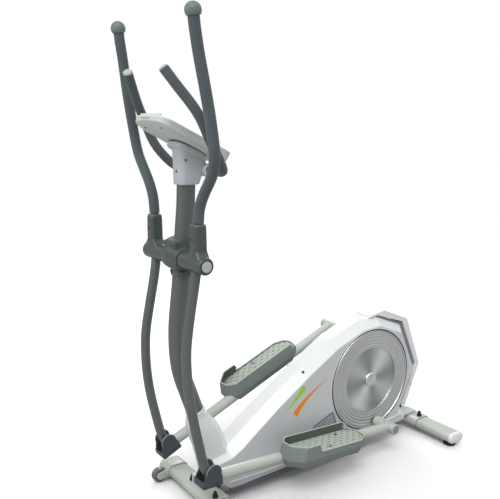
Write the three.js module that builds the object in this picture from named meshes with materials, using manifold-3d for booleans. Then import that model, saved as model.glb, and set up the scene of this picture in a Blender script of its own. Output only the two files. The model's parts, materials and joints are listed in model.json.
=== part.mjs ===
// Elliptical trainer with a front post and a rear crank.
// Millimetres. +X points from the console to the drive, -Y is the user's left, +Z is up, and the floor is
// z = 0. Every mesh is one physical piece. The pieces are drawn in a layout frame whose X is measured from a
// point between post and crank, and the whole model is then moved by CENTRE_X so that X = 0 is its middle.

import * as THREE from 'three';
import { mergeVertices } from 'three/addons/utils/BufferGeometryUtils.js';
import Module from 'manifold-3d';

const wasm = await Module();
wasm.setup();

// ---------------------------------------------------------------- driving dimensions
const CENTRE_X = 79.45;                     // layout X that becomes the model's X = 0
const GAP = 0.4;                           // clearance between neighbouring pieces
const LEFT = -1;                           // side signs along Y
const RIGHT = 1;

// linkage: swing arms hang from PIVOT, pedal arms join them to the crank pins
const PIVOT = { x: -454.7, z: 877.2 };
const CRANK = { x: 368.6, z: 297.8 };
const SWING_RADIUS = 713.4;
const PEDAL_ARM_LENGTH = 825.6;
const CRANK_RADIUS = 181;
const ARM_Y = 142;                         // middle of a pedal arm, out from the centre plane

// tubes, as outer radii
const POST_R = 30;
const SWING_TUBE_R = 16;
const HANDLE_TUBE_R = 12.5;
const GRIP_R = 17;
const ARM_TUBE_R = 19;
const WALL = 2;

// floor frame
const FRONT_FOOT = { x: -374.5, z: 37.8, width: 80, height: 40, half: 224 };
const REAR_FOOT = { x: 674.5, z: 38.1, width: 76, height: 38, half: 245 };
const SPINE = { width: 50, bottom: 62.6, top: 96, tail: 585, tailTop: 72 };

// pivot head on the post
const AXLE_R = 10;
const HUB_R = 27.5;
const HUB_IN = 52;
const HUB_OUT = 189;
const SLEEVE_Y = 142;
const SLEEVE_TOP = 1000;

// drive casing
const CASE_RIDGE = 30;                     // half width of the flat top
const CASE_HALF = 68;                      // half width at the side panels
const CASE_WALL = 3;
const DISC_R = 200;
const DISC_FACE = 70.5;                    // outer face of a crank disc, out from the centre plane
const PULLEY_R = 118;
const FLYWHEEL = { x: 112, z: 212, r: 108, pulley: 20 };
const IDLER = { x: 206, z: 232, r: 16 };
const BELT_Y = { from: 16, to: 28 };

// console
const CONSOLE_TILT = THREE.MathUtils.degToRad(25.6);
const CONSOLE = { x: -417, z: 1267, width: 200, depth: 283, thick: 36 };

// ---------------------------------------------------------------- linkage at rest
// At rest both swing arms hang level with each other, so the crank line is square to the line from the crank
// to the link pins.
const crankToLink = Math.sqrt(PEDAL_ARM_LENGTH ** 2 - CRANK_RADIUS ** 2);
const LINK = meetingPoint(PIVOT, SWING_RADIUS, CRANK, crankToLink);
const crankLine = Math.atan2(CRANK.z - LINK.z, CRANK.x - LINK.x) - Math.PI / 2;
const PIN = {
  [LEFT]: pointAt(CRANK, CRANK_RADIUS, crankLine),
  [RIGHT]: pointAt(CRANK, CRANK_RADIUS, crankLine + Math.PI),
};

function pointAt(centre, radius, angle) {
  return { x: centre.x + radius * Math.cos(angle), z: centre.z + radius * Math.sin(angle) };
}

// The lower of the two points that lie ra from a and rb from b.
function meetingPoint(a, ra, b, rb) {
  const dx = b.x - a.x;
  const dz = b.z - a.z;
  const apart = Math.hypot(dx, dz);
  const along = (ra * ra - rb * rb + apart * apart) / (2 * apart);
  const aside = Math.sqrt(ra * ra - along * along);
  return {
    x: a.x + (along * dx + aside * dz) / apart,
    z: a.z + (along * dz - aside * dx) / apart,
  };
}

// ---------------------------------------------------------------- solid tools
function toSolid(geometry) {
  const bare = geometry.clone();
  bare.deleteAttribute('normal');
  bare.deleteAttribute('uv');
  const merged = mergeVertices(bare, 1e-3);
  return new wasm.Manifold(new wasm.Mesh({
    numProp: 3,
    vertProperties: merged.getAttribute('position').array,
    triVerts: new Uint32Array(merged.getIndex().array),
  }));
}

function toGeometry(solid) {
  const mesh = solid.getMesh();
  const geometry = new THREE.BufferGeometry();
  geometry.setAttribute('position', new THREE.BufferAttribute(new Float32Array(mesh.vertProperties), 3));
  geometry.setIndex(new THREE.BufferAttribute(new Uint32Array(mesh.triVerts), 1));
  geometry.computeVertexNormals();
  return geometry;
}

function join(...geometries) {
  return toGeometry(geometries.map(toSolid).reduce((all, one) => all.add(one)));
}

function cut(geometry, ...tools) {
  return toGeometry(tools.map(toSolid).reduce((left, tool) => left.subtract(tool), toSolid(geometry)));
}

function common(a, b) {
  return toGeometry(toSolid(a).intersect(toSolid(b)));
}

// A block between two corners.
function block(x0, x1, y0, y1, z0, z1) {
  return new THREE.BoxGeometry(x1 - x0, y1 - y0, z1 - z0)
    .translate((x0 + x1) / 2, (y0 + y1) / 2, (z0 + z1) / 2);
}

// A round bar along Y between two Y values, both given out from the centre plane on one side.
function barY(side, x, z, radius, y0, y1, sides = 24) {
  return new THREE.CylinderGeometry(radius, radius, y1 - y0, sides).translate(x, side * (y0 + y1) / 2, z);
}

// A round bar along Z, which may taper.
function barZ(x, y, radius, z0, z1, sides = 16, topRadius = radius) {
  return new THREE.CylinderGeometry(topRadius, radius, z1 - z0, sides)
    .rotateX(Math.PI / 2)
    .translate(x, y, (z0 + z1) / 2);
}

// A turned piece about the Y axis. The profile lists [radius, distance along the axis] from low to high.
function turnedY(side, x, z, profile, sides = 24) {
  const points = profile.map(([r, y]) => new THREE.Vector2(r, y));
  const turned = new THREE.LatheGeometry(points, sides);
  if (side < 0) turned.rotateZ(Math.PI);
  return turned.translate(x, 0, z);
}

// A turned piece about the Z axis.
function turnedZ(x, y, z, profile, sides = 16) {
  const points = profile.map(([r, h]) => new THREE.Vector2(r, h));
  return new THREE.LatheGeometry(points, sides).rotateX(Math.PI / 2).translate(x, y, z);
}

// A side outline (x, z) stretched along Y.
function slab(shape, y0, y1, curveSegments = 5) {
  return new THREE.ExtrudeGeometry(shape, { depth: y1 - y0, bevelEnabled: false, curveSegments })
    .rotateX(Math.PI / 2)
    .translate(0, y1, 0);
}

// A plan outline (x, y) stretched along Z.
function plate(shape, z0, z1, curveSegments = 8) {
  return new THREE.ExtrudeGeometry(shape, { depth: z1 - z0, bevelEnabled: false, curveSegments })
    .translate(0, 0, z0);
}

function polygon(points) {
  return new THREE.Shape(points.map(([x, y]) => new THREE.Vector2(x, y)));
}

// A round section with a many-sided bore.
function ring(radius, bore, boreSides) {
  const shape = new THREE.Shape().absarc(0, 0, radius, 0, 2 * Math.PI);
  if (bore) {
    const corners = Array.from({ length: boreSides }, (_, i) => {
      const angle = -2 * Math.PI * i / boreSides;
      return new THREE.Vector2(bore * Math.cos(angle), bore * Math.sin(angle));
    });
    shape.holes.push(new THREE.Path(corners));
  }
  return shape;
}

// A tube along a smooth line through points [x, y, z].
function bentTube(points, radius, bore, steps, sides = 12, boreSides = 6) {
  const corners = points.map((p) => new THREE.Vector3(...p));
  const route = new THREE.CatmullRomCurve3(corners, false, 'centripetal');
  return new THREE.ExtrudeGeometry(ring(radius, bore, boreSides), {
    steps, extrudePath: route, bevelEnabled: false, curveSegments: sides / 2,
  });
}

// A rounded rectangle or, with the largest corner radius, a flat oval.
function roundedRect(width, height, corner, cx = 0, cy = 0) {
  const x = width / 2 - corner;
  const y = height / 2 - corner;
  const q = Math.PI / 2;
  return new THREE.Shape()
    .absarc(cx + x, cy + y, corner, 0, q)
    .absarc(cx - x, cy + y, corner, q, 2 * q)
    .absarc(cx - x, cy - y, corner, 2 * q, 3 * q)
    .absarc(cx + x, cy - y, corner, 3 * q, 4 * q);
}

// Moves the vertices of an upright piece so that it tapers and leans between two heights.
function tapered(geometry, z0, z1, place) {
  const position = geometry.getAttribute('position');
  for (let i = 0; i < position.count; i += 1) {
    const t = (position.getZ(i) - z0) / (z1 - z0);
    const [x, y] = place(position.getX(i), position.getY(i), t);
    position.setX(i, x);
    position.setY(i, y);
  }
  geometry.computeVertexNormals();
  return geometry;
}

// ---------------------------------------------------------------- finishes
const FINISHES = {
  greyGreenMetal: [0x7f8a84, 0.4, 0.5],
  paleGreenMetal: [0xb9c2b8, 0.4, 0.4],
  slatePlastic: [0x46535a, 0.5, 0],
  greyGreenPlastic: [0x6d7a78, 0.5, 0],
  foam: [0x4d565c, 0.9, 0],
  knobPlastic: [0x7c8587, 0.6, 0],
  whiteGloss: [0xe9ecf0, 0.2, 0],
  coolGrey: [0xb4b7bf, 0.35, 0],
  consoleGrey: [0x7b8280, 0.5, 0],
  consoleWhite: [0xdfe4e0, 0.35, 0],
  blackPlastic: [0x17191a, 0.5, 0],
  darkGlass: [0x20282c, 0.15, 0],
  silver: [0xc9cbcf, 0.3, 0.6],
  steel: [0x8f9496, 0.35, 0.9],
  castIron: [0x4a4c4e, 0.6, 0.7],
  beltRubber: [0x1b1b1c, 0.8, 0],
};

const trainer = new THREE.Group();
trainer.name = 'elliptical_trainer';
trainer.position.x = -CENTRE_X;

function addPiece(name, geometry, finish) {
  const [color, roughness, metalness] = FINISHES[finish];
  const mesh = new THREE.Mesh(geometry, new THREE.MeshStandardMaterial({ color, roughness, metalness }));
  mesh.name = name;
  trainer.add(mesh);
}

// Calls make(side, 'left' or 'right') for both sides.
function bothSides(make) {
  make(LEFT, 'left');
  make(RIGHT, 'right');
}

// ---------------------------------------------------------------- front post
const POST_ROUTE = [
  [-411, 0, 1150], [-416, 0, 1040], [-425, 0, 950], [-438, 0, 800], [-457, 0, 620],
  [-449, 0, 500], [-418, 0, 400], [-370, 0, 270], [-320, 0, 140],
];

const POST_STEPS = 10;
const POST_SIDES = 16;

// A solid bar along the whole post, a little fatter than it, which cuts the wells that the post fills.
function postWell(clearance) {
  return bentTube(POST_ROUTE, POST_R + clearance, 0, POST_STEPS, POST_SIDES);
}

function postBore(radius) {
  return barY(1, PIVOT.x, PIVOT.z, radius, -90, 90, 16);
}

function frontPost() {
  const tube = bentTube(POST_ROUTE, POST_R, POST_R - WALL, POST_STEPS, POST_SIDES, 10);
  const sleeve = cut(barY(1, PIVOT.x, PIVOT.z, AXLE_R + 5, -38, 38, 16), postBore(AXLE_R + GAP));
  const bored = cut(tube, postBore(AXLE_R + 5 - GAP));
  return join(bored, sleeve);
}

// ---------------------------------------------------------------- floor frame
// The flat-oval section of a stabiliser, grown by a margin.
function footOval({ x, z, width, height }, margin) {
  return roundedRect(width + 2 * margin, height + 2 * margin, height / 2 + margin, x, z);
}

function footTube(foot, studs = []) {
  const { half } = foot;
  const shape = footOval(foot, 0);
  shape.holes.push(footOval(foot, -WALL));
  const tube = slab(shape, -half, half, 4);
  return studs.length ? cut(tube, ...studs) : tube;
}

// The saddle plate that sits on a stabiliser, with its two clamp screws' holes.
function saddle(foot, y0, y1) {
  const over = 5;
  const shell = cut(slab(footOval(foot, over), y0, y1, 4), slab(footOval(foot, GAP), y0 - 1, y1 + 1, 4));
  const far = foot.width;
  return common(shell, block(foot.x - far, foot.x + far, y0 - 2, y1 + 2, foot.z + 4, foot.z + far));
}

const FRONT_SADDLE = { from: -124, to: 56 };
const REAR_SADDLE = { from: -74, to: 74 };

function mainFrame() {
  const half = SPINE.width / 2;
  const spine = block(FRONT_FOOT.x - 24, SPINE.tail, -half, half, SPINE.bottom - 1, SPINE.top);
  const tail = block(SPINE.tail - 1, REAR_FOOT.x + 14, -half, half, SPINE.bottom - 1, SPINE.tailTop);
  // the post stands in a welded cup at the front of the spine
  const cupRoute = [...POST_ROUTE.slice(-3), [-301, 0, SPINE.top - 6]];
  const cup = cut(bentTube(cupRoute, POST_R + 6, 0, 4, POST_SIDES), postWell(1));
  const cupLength = common(cup, block(-420, -250, -60, 60, SPINE.top - 4, 185));
  // the crank bearing stands on two plates, and its shell lies across the centre plane
  const tower = polygon([
    [CRANK.x - 70, SPINE.top - 4], [CRANK.x + 60, SPINE.top - 4],
    [CRANK.x + 26, CRANK.z], [CRANK.x - 26, CRANK.z],
  ]);
  const crankTower = slab(tower, -16, 4);
  const bearing = barY(1, CRANK.x, CRANK.z, 27, -34, 11, 16);
  const wheelStay = polygon([
    [FLYWHEEL.x - 24, SPINE.top - 4], [FLYWHEEL.x + 24, SPINE.top - 4],
    [FLYWHEEL.x + 13, FLYWHEEL.z + 12], [FLYWHEEL.x - 13, FLYWHEEL.z + 12],
  ]);
  const idlerStay = polygon([
    [FLYWHEEL.x + 20, SPINE.top - 4], [IDLER.x + 30, SPINE.top - 4],
    [IDLER.x + 9, IDLER.z + 8], [IDLER.x - 9, IDLER.z + 8],
  ]);
  const idlerPost = slab(idlerStay, 5, 12);
  const idlerPin = barY(1, IDLER.x, IDLER.z, 5, 11, 30, 12);
  const solid = join(
    spine, tail, cupLength, crankTower, bearing,
    slab(wheelStay, 1, 9), slab(wheelStay, -60, -54), stayFoot(),
    idlerPost, idlerPin,
    saddle(FRONT_FOOT, FRONT_SADDLE.from, FRONT_SADDLE.to),
    saddle(REAR_FOOT, REAR_SADDLE.from, REAR_SADDLE.to),
  );
  // the spine is a box tube, open at its front end
  const spineBore = block(
    FRONT_FOOT.x - 30, SPINE.tail - 3, 2.5 - half, half - 2.5, SPINE.bottom + 1.5, SPINE.top - 2.5,
  );
  return cut(
    solid,
    spineBore,
    barY(1, CRANK.x, CRANK.z, 14 + GAP, -80, 80, 16),
    barY(1, FLYWHEEL.x, FLYWHEEL.z, 8 + GAP, -80, 80, 12),
    ...CLAMP_SCREWS.map(({ x, y }) => barZ(x, y, 4.5 + GAP, 40, 80, 8)),
  );
}

// The outer flywheel stay stands off the spine on a foot.
function stayFoot() {
  return block(FLYWHEEL.x - 24, FLYWHEEL.x + 24, -60, -20, SPINE.top - 8, SPINE.top - 1);
}

const CLAMP_SCREWS = [
  { name: 'front_left', x: -386, y: -107, z: 62.8 },
  { name: 'front_right', x: -390, y: 38, z: 62.8 },
  { name: 'rear_left', x: 674.5, y: -58, z: 62.1 },
  { name: 'rear_right', x: 674.5, y: 58, z: 62.1 },
];

// A moulded clamp knob on its screw.
function clampKnob({ x, y, z }) {
  const seat = z + GAP;
  return turnedZ(x, y, 0, [
    [0, seat - 12], [4, seat - 12], [4, seat],
    [9.5, seat], [10.5, seat + 5], [6, seat + 18], [0, seat + 22],
  ], 10);
}

// ---------------------------------------------------------------- stabiliser ends
const TRANSPORT_WHEEL = { x: -441, z: 29, r: 25.5, from: 186, to: 208 };

function frontEndCap(side) {
  const { x, half } = FRONT_FOOT;
  const wall = 4;
  const shell = slab(footOval(FRONT_FOOT, wall), 172, half + 14, 4);
  const hollow = slab(footOval(FRONT_FOOT, GAP), 160, half + GAP, 4);
  // two cheeks carry the wheel in front, and a foot stands on the floor
  const cheek = new THREE.Shape()
    .moveTo(-392, 52)
    .lineTo(TRANSPORT_WHEEL.x, TRANSPORT_WHEEL.z + 13)
    .absarc(TRANSPORT_WHEEL.x, TRANSPORT_WHEEL.z, 13, Math.PI / 2, 3 * Math.PI / 2, false)
    .lineTo(-392, 20);
  const foot = block(x - 22, x + 26, 196, 230, 0, 18);
  const { from, to, r } = TRANSPORT_WHEEL;
  const play = 1.5;
  const thick = 6;
  const cheeks = [from - play - thick, to + play].map((y) => slab(cheek, y, y + thick, 5));
  const inward = cut(
    join(shell, ...cheeks, foot), hollow,
    barY(1, TRANSPORT_WHEEL.x, TRANSPORT_WHEEL.z, r + 3, from - play, to + play, 18),
    barY(1, TRANSPORT_WHEEL.x, TRANSPORT_WHEEL.z, 4 + GAP, from - 20, to + 20, 10),
  );
  return onSide(inward, side);
}

// A piece drawn on the right (+Y) side, or its mirror image on the left.
function onSide(geometry, side) {
  if (side === RIGHT) return geometry;
  const mirrored = toSolid(geometry).mirror([0, 1, 0]);
  return toGeometry(mirrored);
}

function transportWheel(side) {
  const { x, z, r, from, to } = TRANSPORT_WHEEL;
  return turnedY(side, x, z, [
    [0, from - 9], [4, from - 9], [4, from], [r - 2, from], [r, from + 2],
    [r, to - 2], [r - 2, to], [4, to], [4, to + 9], [0, to + 9],
  ], 18);
}

function rearEndCap(side) {
  const seat = REAR_FOOT.half + 0.5;
  const cap = slab(footOval(REAR_FOOT, 0), seat, seat + 14, 4);
  const plug = slab(footOval(REAR_FOOT, -WALL - 0.5), REAR_FOOT.half - 7, seat + 1.5, 4);
  return onSide(join(cap, plug), side);
}

const FOOT_Y = 222;

function levelingFoot(side) {
  return turnedZ(REAR_FOOT.x, side * FOOT_Y, 0, [
    [0, 0], [24, 0], [25, 8], [19, 13], [4, 15], [4, 30], [0, 30],
  ], 16);
}

// ---------------------------------------------------------------- drive casing
// Outline of the casing at its flat top, seen from the user's left, from the nose round to the rear.
const CASE_OUTLINE = [
  [-366, 66], [-385, 176], [-300, 188], [-262, 208], [-205, 249], [-102, 320], [40, 408], [182, 489],
  [323, 538], [420, 541], [560, 484], [644, 296], [566, 132], [600, 98], [598, 50],
  [300, 34], [-40, 24], [-300, 16],
];

// The casing's full solid, chamfered from the flat top to the side panels, drawn smaller by a margin.
function caseSolid(margin) {
  const outline = polygon(CASE_OUTLINE);
  const chamfer = CASE_HALF - CASE_RIDGE;
  return new THREE.ExtrudeGeometry(outline, {
    depth: 2 * CASE_RIDGE,
    bevelThickness: chamfer - margin,
    bevelSize: chamfer * 0.8,
    bevelOffset: -chamfer * 0.8 - margin,
    bevelSegments: 1,
  }).rotateX(Math.PI / 2).translate(0, CASE_RIDGE, 0);
}

function caseShell(side) {
  const [y0, y1] = side === LEFT ? [-100, -GAP / 2] : [GAP / 2, 100];
  const half = block(-500, 800, y0, y1, 0, 700);
  const window = barY(side, CRANK.x, CRANK.z, DISC_R + 3, 40, 90, 30);
  const room = SPINE.width / 2 + 2;
  const spineWell = block(-420, SPINE.tail + 2, -room, room, SPINE.bottom - 45, SPINE.top + 2);
  const saddleWell = block(-470, -326, -140, 140, 0, 66);
  const shell = cut(
    caseSolid(0), caseSolid(CASE_WALL),
    window, postWell(7), spineWell, saddleWell, capRebate(), stayWell(),
  );
  return common(shell, half);
}

// Room for the frame's rear end where the casing closes over it.
function stayWell() {
  return block(560, 720, -SPINE.width / 2 - 2, SPINE.width / 2 + 2, 40, SPINE.tailTop + 2);
}

const CAP_OUTLINE = [
  [371, 548], [463, 560], [597, 504], [680, 294], [601, 118],
  [583, 134], [658, 296], [571, 494], [426, 551],
];
const CAP_HALF = 40;

function capRebate() {
  const outline = [
    [371, 543], [424, 548], [570, 491], [655, 296], [579, 136], [700, 100], [760, 600], [371, 600],
  ];
  return slab(polygon(outline), -90, 90);
}

function rearCap() {
  return slab(polygon(CAP_OUTLINE), -CAP_HALF, CAP_HALF);
}

// Tapered boot round the post, standing on the casing's nose.
function postBoot() {
  const bottom = 201;
  const top = 336;
  const section = new THREE.Shape()
    .moveTo(-52, -28).lineTo(-28, -43).lineTo(30, -43).lineTo(58, -24)
    .lineTo(58, 24).lineTo(30, 43).lineTo(-28, 43).lineTo(-52, 28);
  const body = new THREE.ExtrudeGeometry(section, { depth: top - bottom, steps: 3, bevelEnabled: false })
    .translate(0, 0, bottom);
  const shaped = tapered(body, bottom, top, (x, y, t) => {
    const centre = THREE.MathUtils.lerp(-343, -392, t);
    const bulge = 1 + 0.1 * Math.sin(Math.PI * t);
    const long = bulge * THREE.MathUtils.lerp(1, 0.74, t);
    const wide = bulge * THREE.MathUtils.lerp(1.05, 0.84, t);
    return [centre + x * long, y * wide];
  });
  return cut(shaped, postWell(1));
}

// ---------------------------------------------------------------- drive
function crankShaft() {
  const arms = [LEFT, RIGHT].map((side) => {
    const pin = PIN[side];
    const along = Math.atan2(pin.z - CRANK.z, pin.x - CRANK.x);
    const arm = roundedRect(CRANK_RADIUS + 36, 34, 16, CRANK_RADIUS / 2, 0);
    const y0 = side === LEFT ? -58 : 46;
    return new THREE.ExtrudeGeometry(arm, { depth: 12, bevelEnabled: false, curveSegments: 2 })
      .rotateZ(along).rotateX(Math.PI / 2).translate(CRANK.x, y0 + 12, CRANK.z);
  });
  return join(barY(1, CRANK.x, CRANK.z, 14, -63, 63, 16), ...arms);
}

// Stepped crank cover, turned about the crank's axis.
function crankDisc(side) {
  const face = DISC_FACE;
  const back = face - 6;
  return turnedY(side, CRANK.x, CRANK.z, [
    [0, back], [DISC_R, back], [DISC_R, face - 2.5], [DISC_R - 4, face],
    [DISC_R - 60, face - 2.5], [131, face - 4], [22, face - 4], [18, face - 1], [0, face + 2.5],
  ], 30);
}

function drivePulley() {
  const { from, to } = BELT_Y;
  return turnedY(RIGHT, CRANK.x, CRANK.z, [
    [14 + GAP, from], [PULLEY_R, from], [PULLEY_R, to], [PULLEY_R - 12, to - 4],
    [34, to - 4], [14 + GAP, to], [14 + GAP, from],
  ], 28);
}

// The rim stays inside the crank arms' path, which starts 46 mm out from the centre plane.
function flywheel() {
  const { x, z, r, pulley } = FLYWHEEL;
  const rim = -43;
  return turnedY(RIGHT, x, z, [
    [0, -63], [8, -63], [8, rim], [r, rim], [r, -14], [r - 22, -14], [r - 22, -26],
    [20, -26], [20, -2], [8, -2],
    [8, BELT_Y.from - 1], [pulley, BELT_Y.from - 1], [pulley, BELT_Y.to + 2], [0, BELT_Y.to + 2],
  ], 16);
}

function idlerRoller() {
  const { from, to } = BELT_Y;
  return turnedY(RIGHT, IDLER.x, IDLER.z, [
    [5 + GAP, from - 1], [IDLER.r, from - 1], [IDLER.r, to + 1], [5 + GAP, to + 1], [5 + GAP, from - 1],
  ], 16);
}

// Flat belt round the drive pulley and the flywheel's small pulley: two circles and their outer tangents.
function belt() {
  const thick = 2;
  const outline = (extra) => {
    const big = PULLEY_R + extra;
    const small = FLYWHEEL.pulley + extra;
    const dx = CRANK.x - FLYWHEEL.x;
    const dz = CRANK.z - FLYWHEEL.z;
    const line = Math.atan2(dz, dx);
    const lean = Math.acos((big - small) / Math.hypot(dx, dz));
    return new THREE.Shape()
      .absarc(CRANK.x, CRANK.z, big, line - Math.PI + lean, line + Math.PI - lean, false)
      .absarc(FLYWHEEL.x, FLYWHEEL.z, small, line + Math.PI - lean, line + Math.PI + lean, false);
  };
  const slack = 2 * GAP;
  const loop = outline(slack + thick);
  loop.holes.push(outline(slack));
  return slab(loop, BELT_Y.from, BELT_Y.to, 12);
}

// ---------------------------------------------------------------- pivot head
function pivotAxle() {
  return join(
    barY(1, PIVOT.x, PIVOT.z, AXLE_R, -182, 182, 16),
    barY(RIGHT, PIVOT.x, PIVOT.z, 16, 181, 185, 12),
    barY(LEFT, PIVOT.x, PIVOT.z, 16, 181, 185, 12),
  );
}

// Clamshell cover round the post and the axle, split front and rear.
function pivotCover(front) {
  const end = HUB_IN - 1.5;
  const bulge = turnedY(RIGHT, PIVOT.x, PIVOT.z, [
    [0, -end], [31, -end], [38, -end * 0.4], [38, end * 0.4], [31, end], [0, end],
  ], 16);
  const slope = new THREE.Vector3(-14, 0, 70).normalize();
  const collar = new THREE.CylinderGeometry(POST_R + 7, POST_R + 7, 128, 16)
    .rotateX(Math.PI / 2)
    .rotateY(Math.atan2(slope.x, slope.z))
    .translate(PIVOT.x + 22, 0, PIVOT.z + 2);
  const whole = cut(
    join(bulge, collar),
    postWell(1),
    barY(1, PIVOT.x, PIVOT.z, AXLE_R + 5 + GAP, -90, 90, 16),
  );
  const split = PIVOT.x + 20;
  const part = front
    ? block(split - 90, split - GAP / 2, -90, 90, 700, 1100)
    : block(split + GAP / 2, split + 90, -90, 90, 700, 1100);
  return common(whole, part);
}

// ---------------------------------------------------------------- swing arms
const SWING_ROUTE = [
  [PIVOT.x, 133, PIVOT.z], [-467, 131, 800], [-487, 133, 700], [-503, 138, 600], [-503, 144, 500],
  [-492, 149, 400], [-470, 149, 290], [-447, 146, 200], [LINK.x, ARM_Y, LINK.z],
];
const SWING_STEPS = 9;
const SWING_SIDES = 10;
const HANDLE_ROUTE = [
  [-454, SLEEVE_Y, 952], [-454, 143, 1010], [-453, 151, 1055], [-451, 177, 1100], [-451, 218, 1150],
  [-457, 245, 1200], [-472, 252, 1300], [-488, 249, 1400], [-503, 241, 1500], [-514, 240, 1575],
];
const HANDLE_GRIP_FROM = 1030;
const HANDLE_GRIP_TO = 1573;
const HANDLE_STEPS = 11;
const KNOB = { x: -516.5, y: 240, z: 1604, r: 24 };

function sided(route, side) {
  return route.map(([x, y, z]) => [x, side * y, z]);
}

function swingTube(side) {
  const tube = bentTube(sided(SWING_ROUTE, side), SWING_TUBE_R, 0, SWING_STEPS, SWING_SIDES);
  const hollow = bentTube(sided(SWING_ROUTE, side), SWING_TUBE_R - WALL, 0, SWING_STEPS, 6);
  const sleeve = barY(side, PIVOT.x, PIVOT.z, 20, 54, 179, 16);
  const socket = barZ(PIVOT.x, side * SLEEVE_Y, 15, PIVOT.z, 951, 12);
  const eye = barY(side, LINK.x, LINK.z, 17, ARM_Y - 17, ARM_Y + 17, 16);
  const [ventX, ventY, ventZ] = SWING_ROUTE[4];
  const vent = barY(side, ventX, ventZ, 2, ventY - 30, ventY, 6);
  return cut(
    join(cut(tube, hollow), sleeve, socket, eye),
    barY(side, PIVOT.x, PIVOT.z, AXLE_R + GAP, 40, 192, 16),
    barY(side, LINK.x, LINK.z, 7 + GAP, 90, 200, 12),
    vent,
  );
}

// Moulded cover over the hub, with the column that the handle tube stands in.
function hubCover(side) {
  const hub = turnedY(side, PIVOT.x, PIVOT.z, [
    [0, HUB_IN], [HUB_R, HUB_IN], [HUB_R, HUB_OUT - 5], [HUB_R - 4, HUB_OUT], [0, HUB_OUT],
  ], 16);
  const column = new THREE.ExtrudeGeometry(roundedRect(46, 44, 13), {
    depth: SLEEVE_TOP - PIVOT.z, bevelEnabled: false, curveSegments: 3,
  }).translate(0, 0, PIVOT.z);
  const leaning = tapered(column, PIVOT.z, SLEEVE_TOP, (x, y, t) => [
    PIVOT.x + x * (1 - 0.16 * t ** 3), side * SLEEVE_Y + y * (1 - 0.16 * t ** 3),
  ]);
  const well = barY(side, PIVOT.x, PIVOT.z, 20.8, HUB_IN - 2, HUB_OUT - 2.5, 16);
  const mouth = bentTube(sided(SWING_ROUTE, side), SWING_TUBE_R + 1, 0, SWING_STEPS, SWING_SIDES);
  const socketWell = barZ(PIVOT.x, side * SLEEVE_Y, 15.6, PIVOT.z, 951 + GAP, 12);
  const handleWell = bentTube(sided(HANDLE_ROUTE, side), HANDLE_TUBE_R + 1, 0, HANDLE_STEPS, 8);
  return cut(join(hub, leaning), well, mouth, socketWell, handleWell);
}

function handleTube(side) {
  return bentTube(sided(HANDLE_ROUTE, side), HANDLE_TUBE_R, HANDLE_TUBE_R - WALL, HANDLE_STEPS, 8);
}

// Foam sleeve over the handle tube, from just above the cover's column to the knob.
function handleGrip(side) {
  const foam = bentTube(sided(HANDLE_ROUTE, side), GRIP_R, HANDLE_TUBE_R + GAP, HANDLE_STEPS, 10, 8);
  const [y0, y1] = side === LEFT ? [-300, -100] : [100, 300];
  return common(foam, block(-600, -400, y0, y1, HANDLE_GRIP_FROM, HANDLE_GRIP_TO));
}

function handleKnob(side) {
  const points = [[0, -26.5], [15, -26.5]];
  const turns = 5;
  for (let i = 0; i <= turns; i += 1) {
    const angle = THREE.MathUtils.lerp(-0.72, Math.PI / 2, i / turns);
    points.push([i === turns ? 0 : KNOB.r * Math.cos(angle), KNOB.r * Math.sin(angle)]);
  }
  const ball = new THREE.LatheGeometry(points.map(([r, h]) => new THREE.Vector2(r, h)), 16)
    .rotateX(Math.PI / 2)
    .rotateY(-0.1)
    .translate(KNOB.x, side * KNOB.y, KNOB.z);
  return cut(ball, bentTube(sided(HANDLE_ROUTE, side), HANDLE_TUBE_R + 1, 0, HANDLE_STEPS, 8));
}

// ---------------------------------------------------------------- pedal arms
// Runs make in a frame whose origin is the link pin and whose X runs along the arm to the crank pin.
function alongArm(side, geometry) {
  const pin = PIN[side];
  return geometry.rotateY(-Math.atan2(pin.z - LINK.z, pin.x - LINK.x)).translate(LINK.x, 0, LINK.z);
}

const ARM_HUB_R = 21;
const ARM_HUB = { from: DISC_FACE + 4.2, to: 178 };
const FORK_CHEEK = { inner: 18, thick: 5 };

function pedalArm(side) {
  const mid = side * ARM_Y;
  const tube = new THREE.CylinderGeometry(ARM_TUBE_R, ARM_TUBE_R, PEDAL_ARM_LENGTH - 38, 16)
    .rotateZ(Math.PI / 2)
    .translate(38 + (PEDAL_ARM_LENGTH - 38) / 2, mid, 0);
  const hub = new THREE.CylinderGeometry(ARM_HUB_R, ARM_HUB_R, ARM_HUB.to - ARM_HUB.from, 18)
    .translate(PEDAL_ARM_LENGTH, side * (ARM_HUB.from + ARM_HUB.to) / 2, 0);
  const { inner, thick } = FORK_CHEEK;
  const cheeks = [mid - inner - thick, mid + inner].map((y) => (
    slab(roundedRect(58, 32, 15, 14, 0), y, y + thick, 3)
  ));
  const web = block(34, 44, mid - inner - 4, mid + inner + 4, -15, 15);
  const bores = [
    // the tube's own hollow, open to the fork through the web
    new THREE.CylinderGeometry(ARM_TUBE_R - WALL, ARM_TUBE_R - WALL, PEDAL_ARM_LENGTH - 72, 10)
      .rotateZ(Math.PI / 2).translate((46 + PEDAL_ARM_LENGTH - 26) / 2, mid, 0),
    new THREE.CylinderGeometry(6, 6, 40, 8).rotateZ(Math.PI / 2).translate(40, mid, 0),
    new THREE.CylinderGeometry(7.8, 7.8, 90, 10).translate(0, mid, 0),
    new THREE.CylinderGeometry(12.8, 12.8, 160, 12).translate(PEDAL_ARM_LENGTH, side * 126, 0),
  ];
  return alongArm(side, cut(join(tube, hub, ...cheeks, web), ...bores));
}

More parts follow.
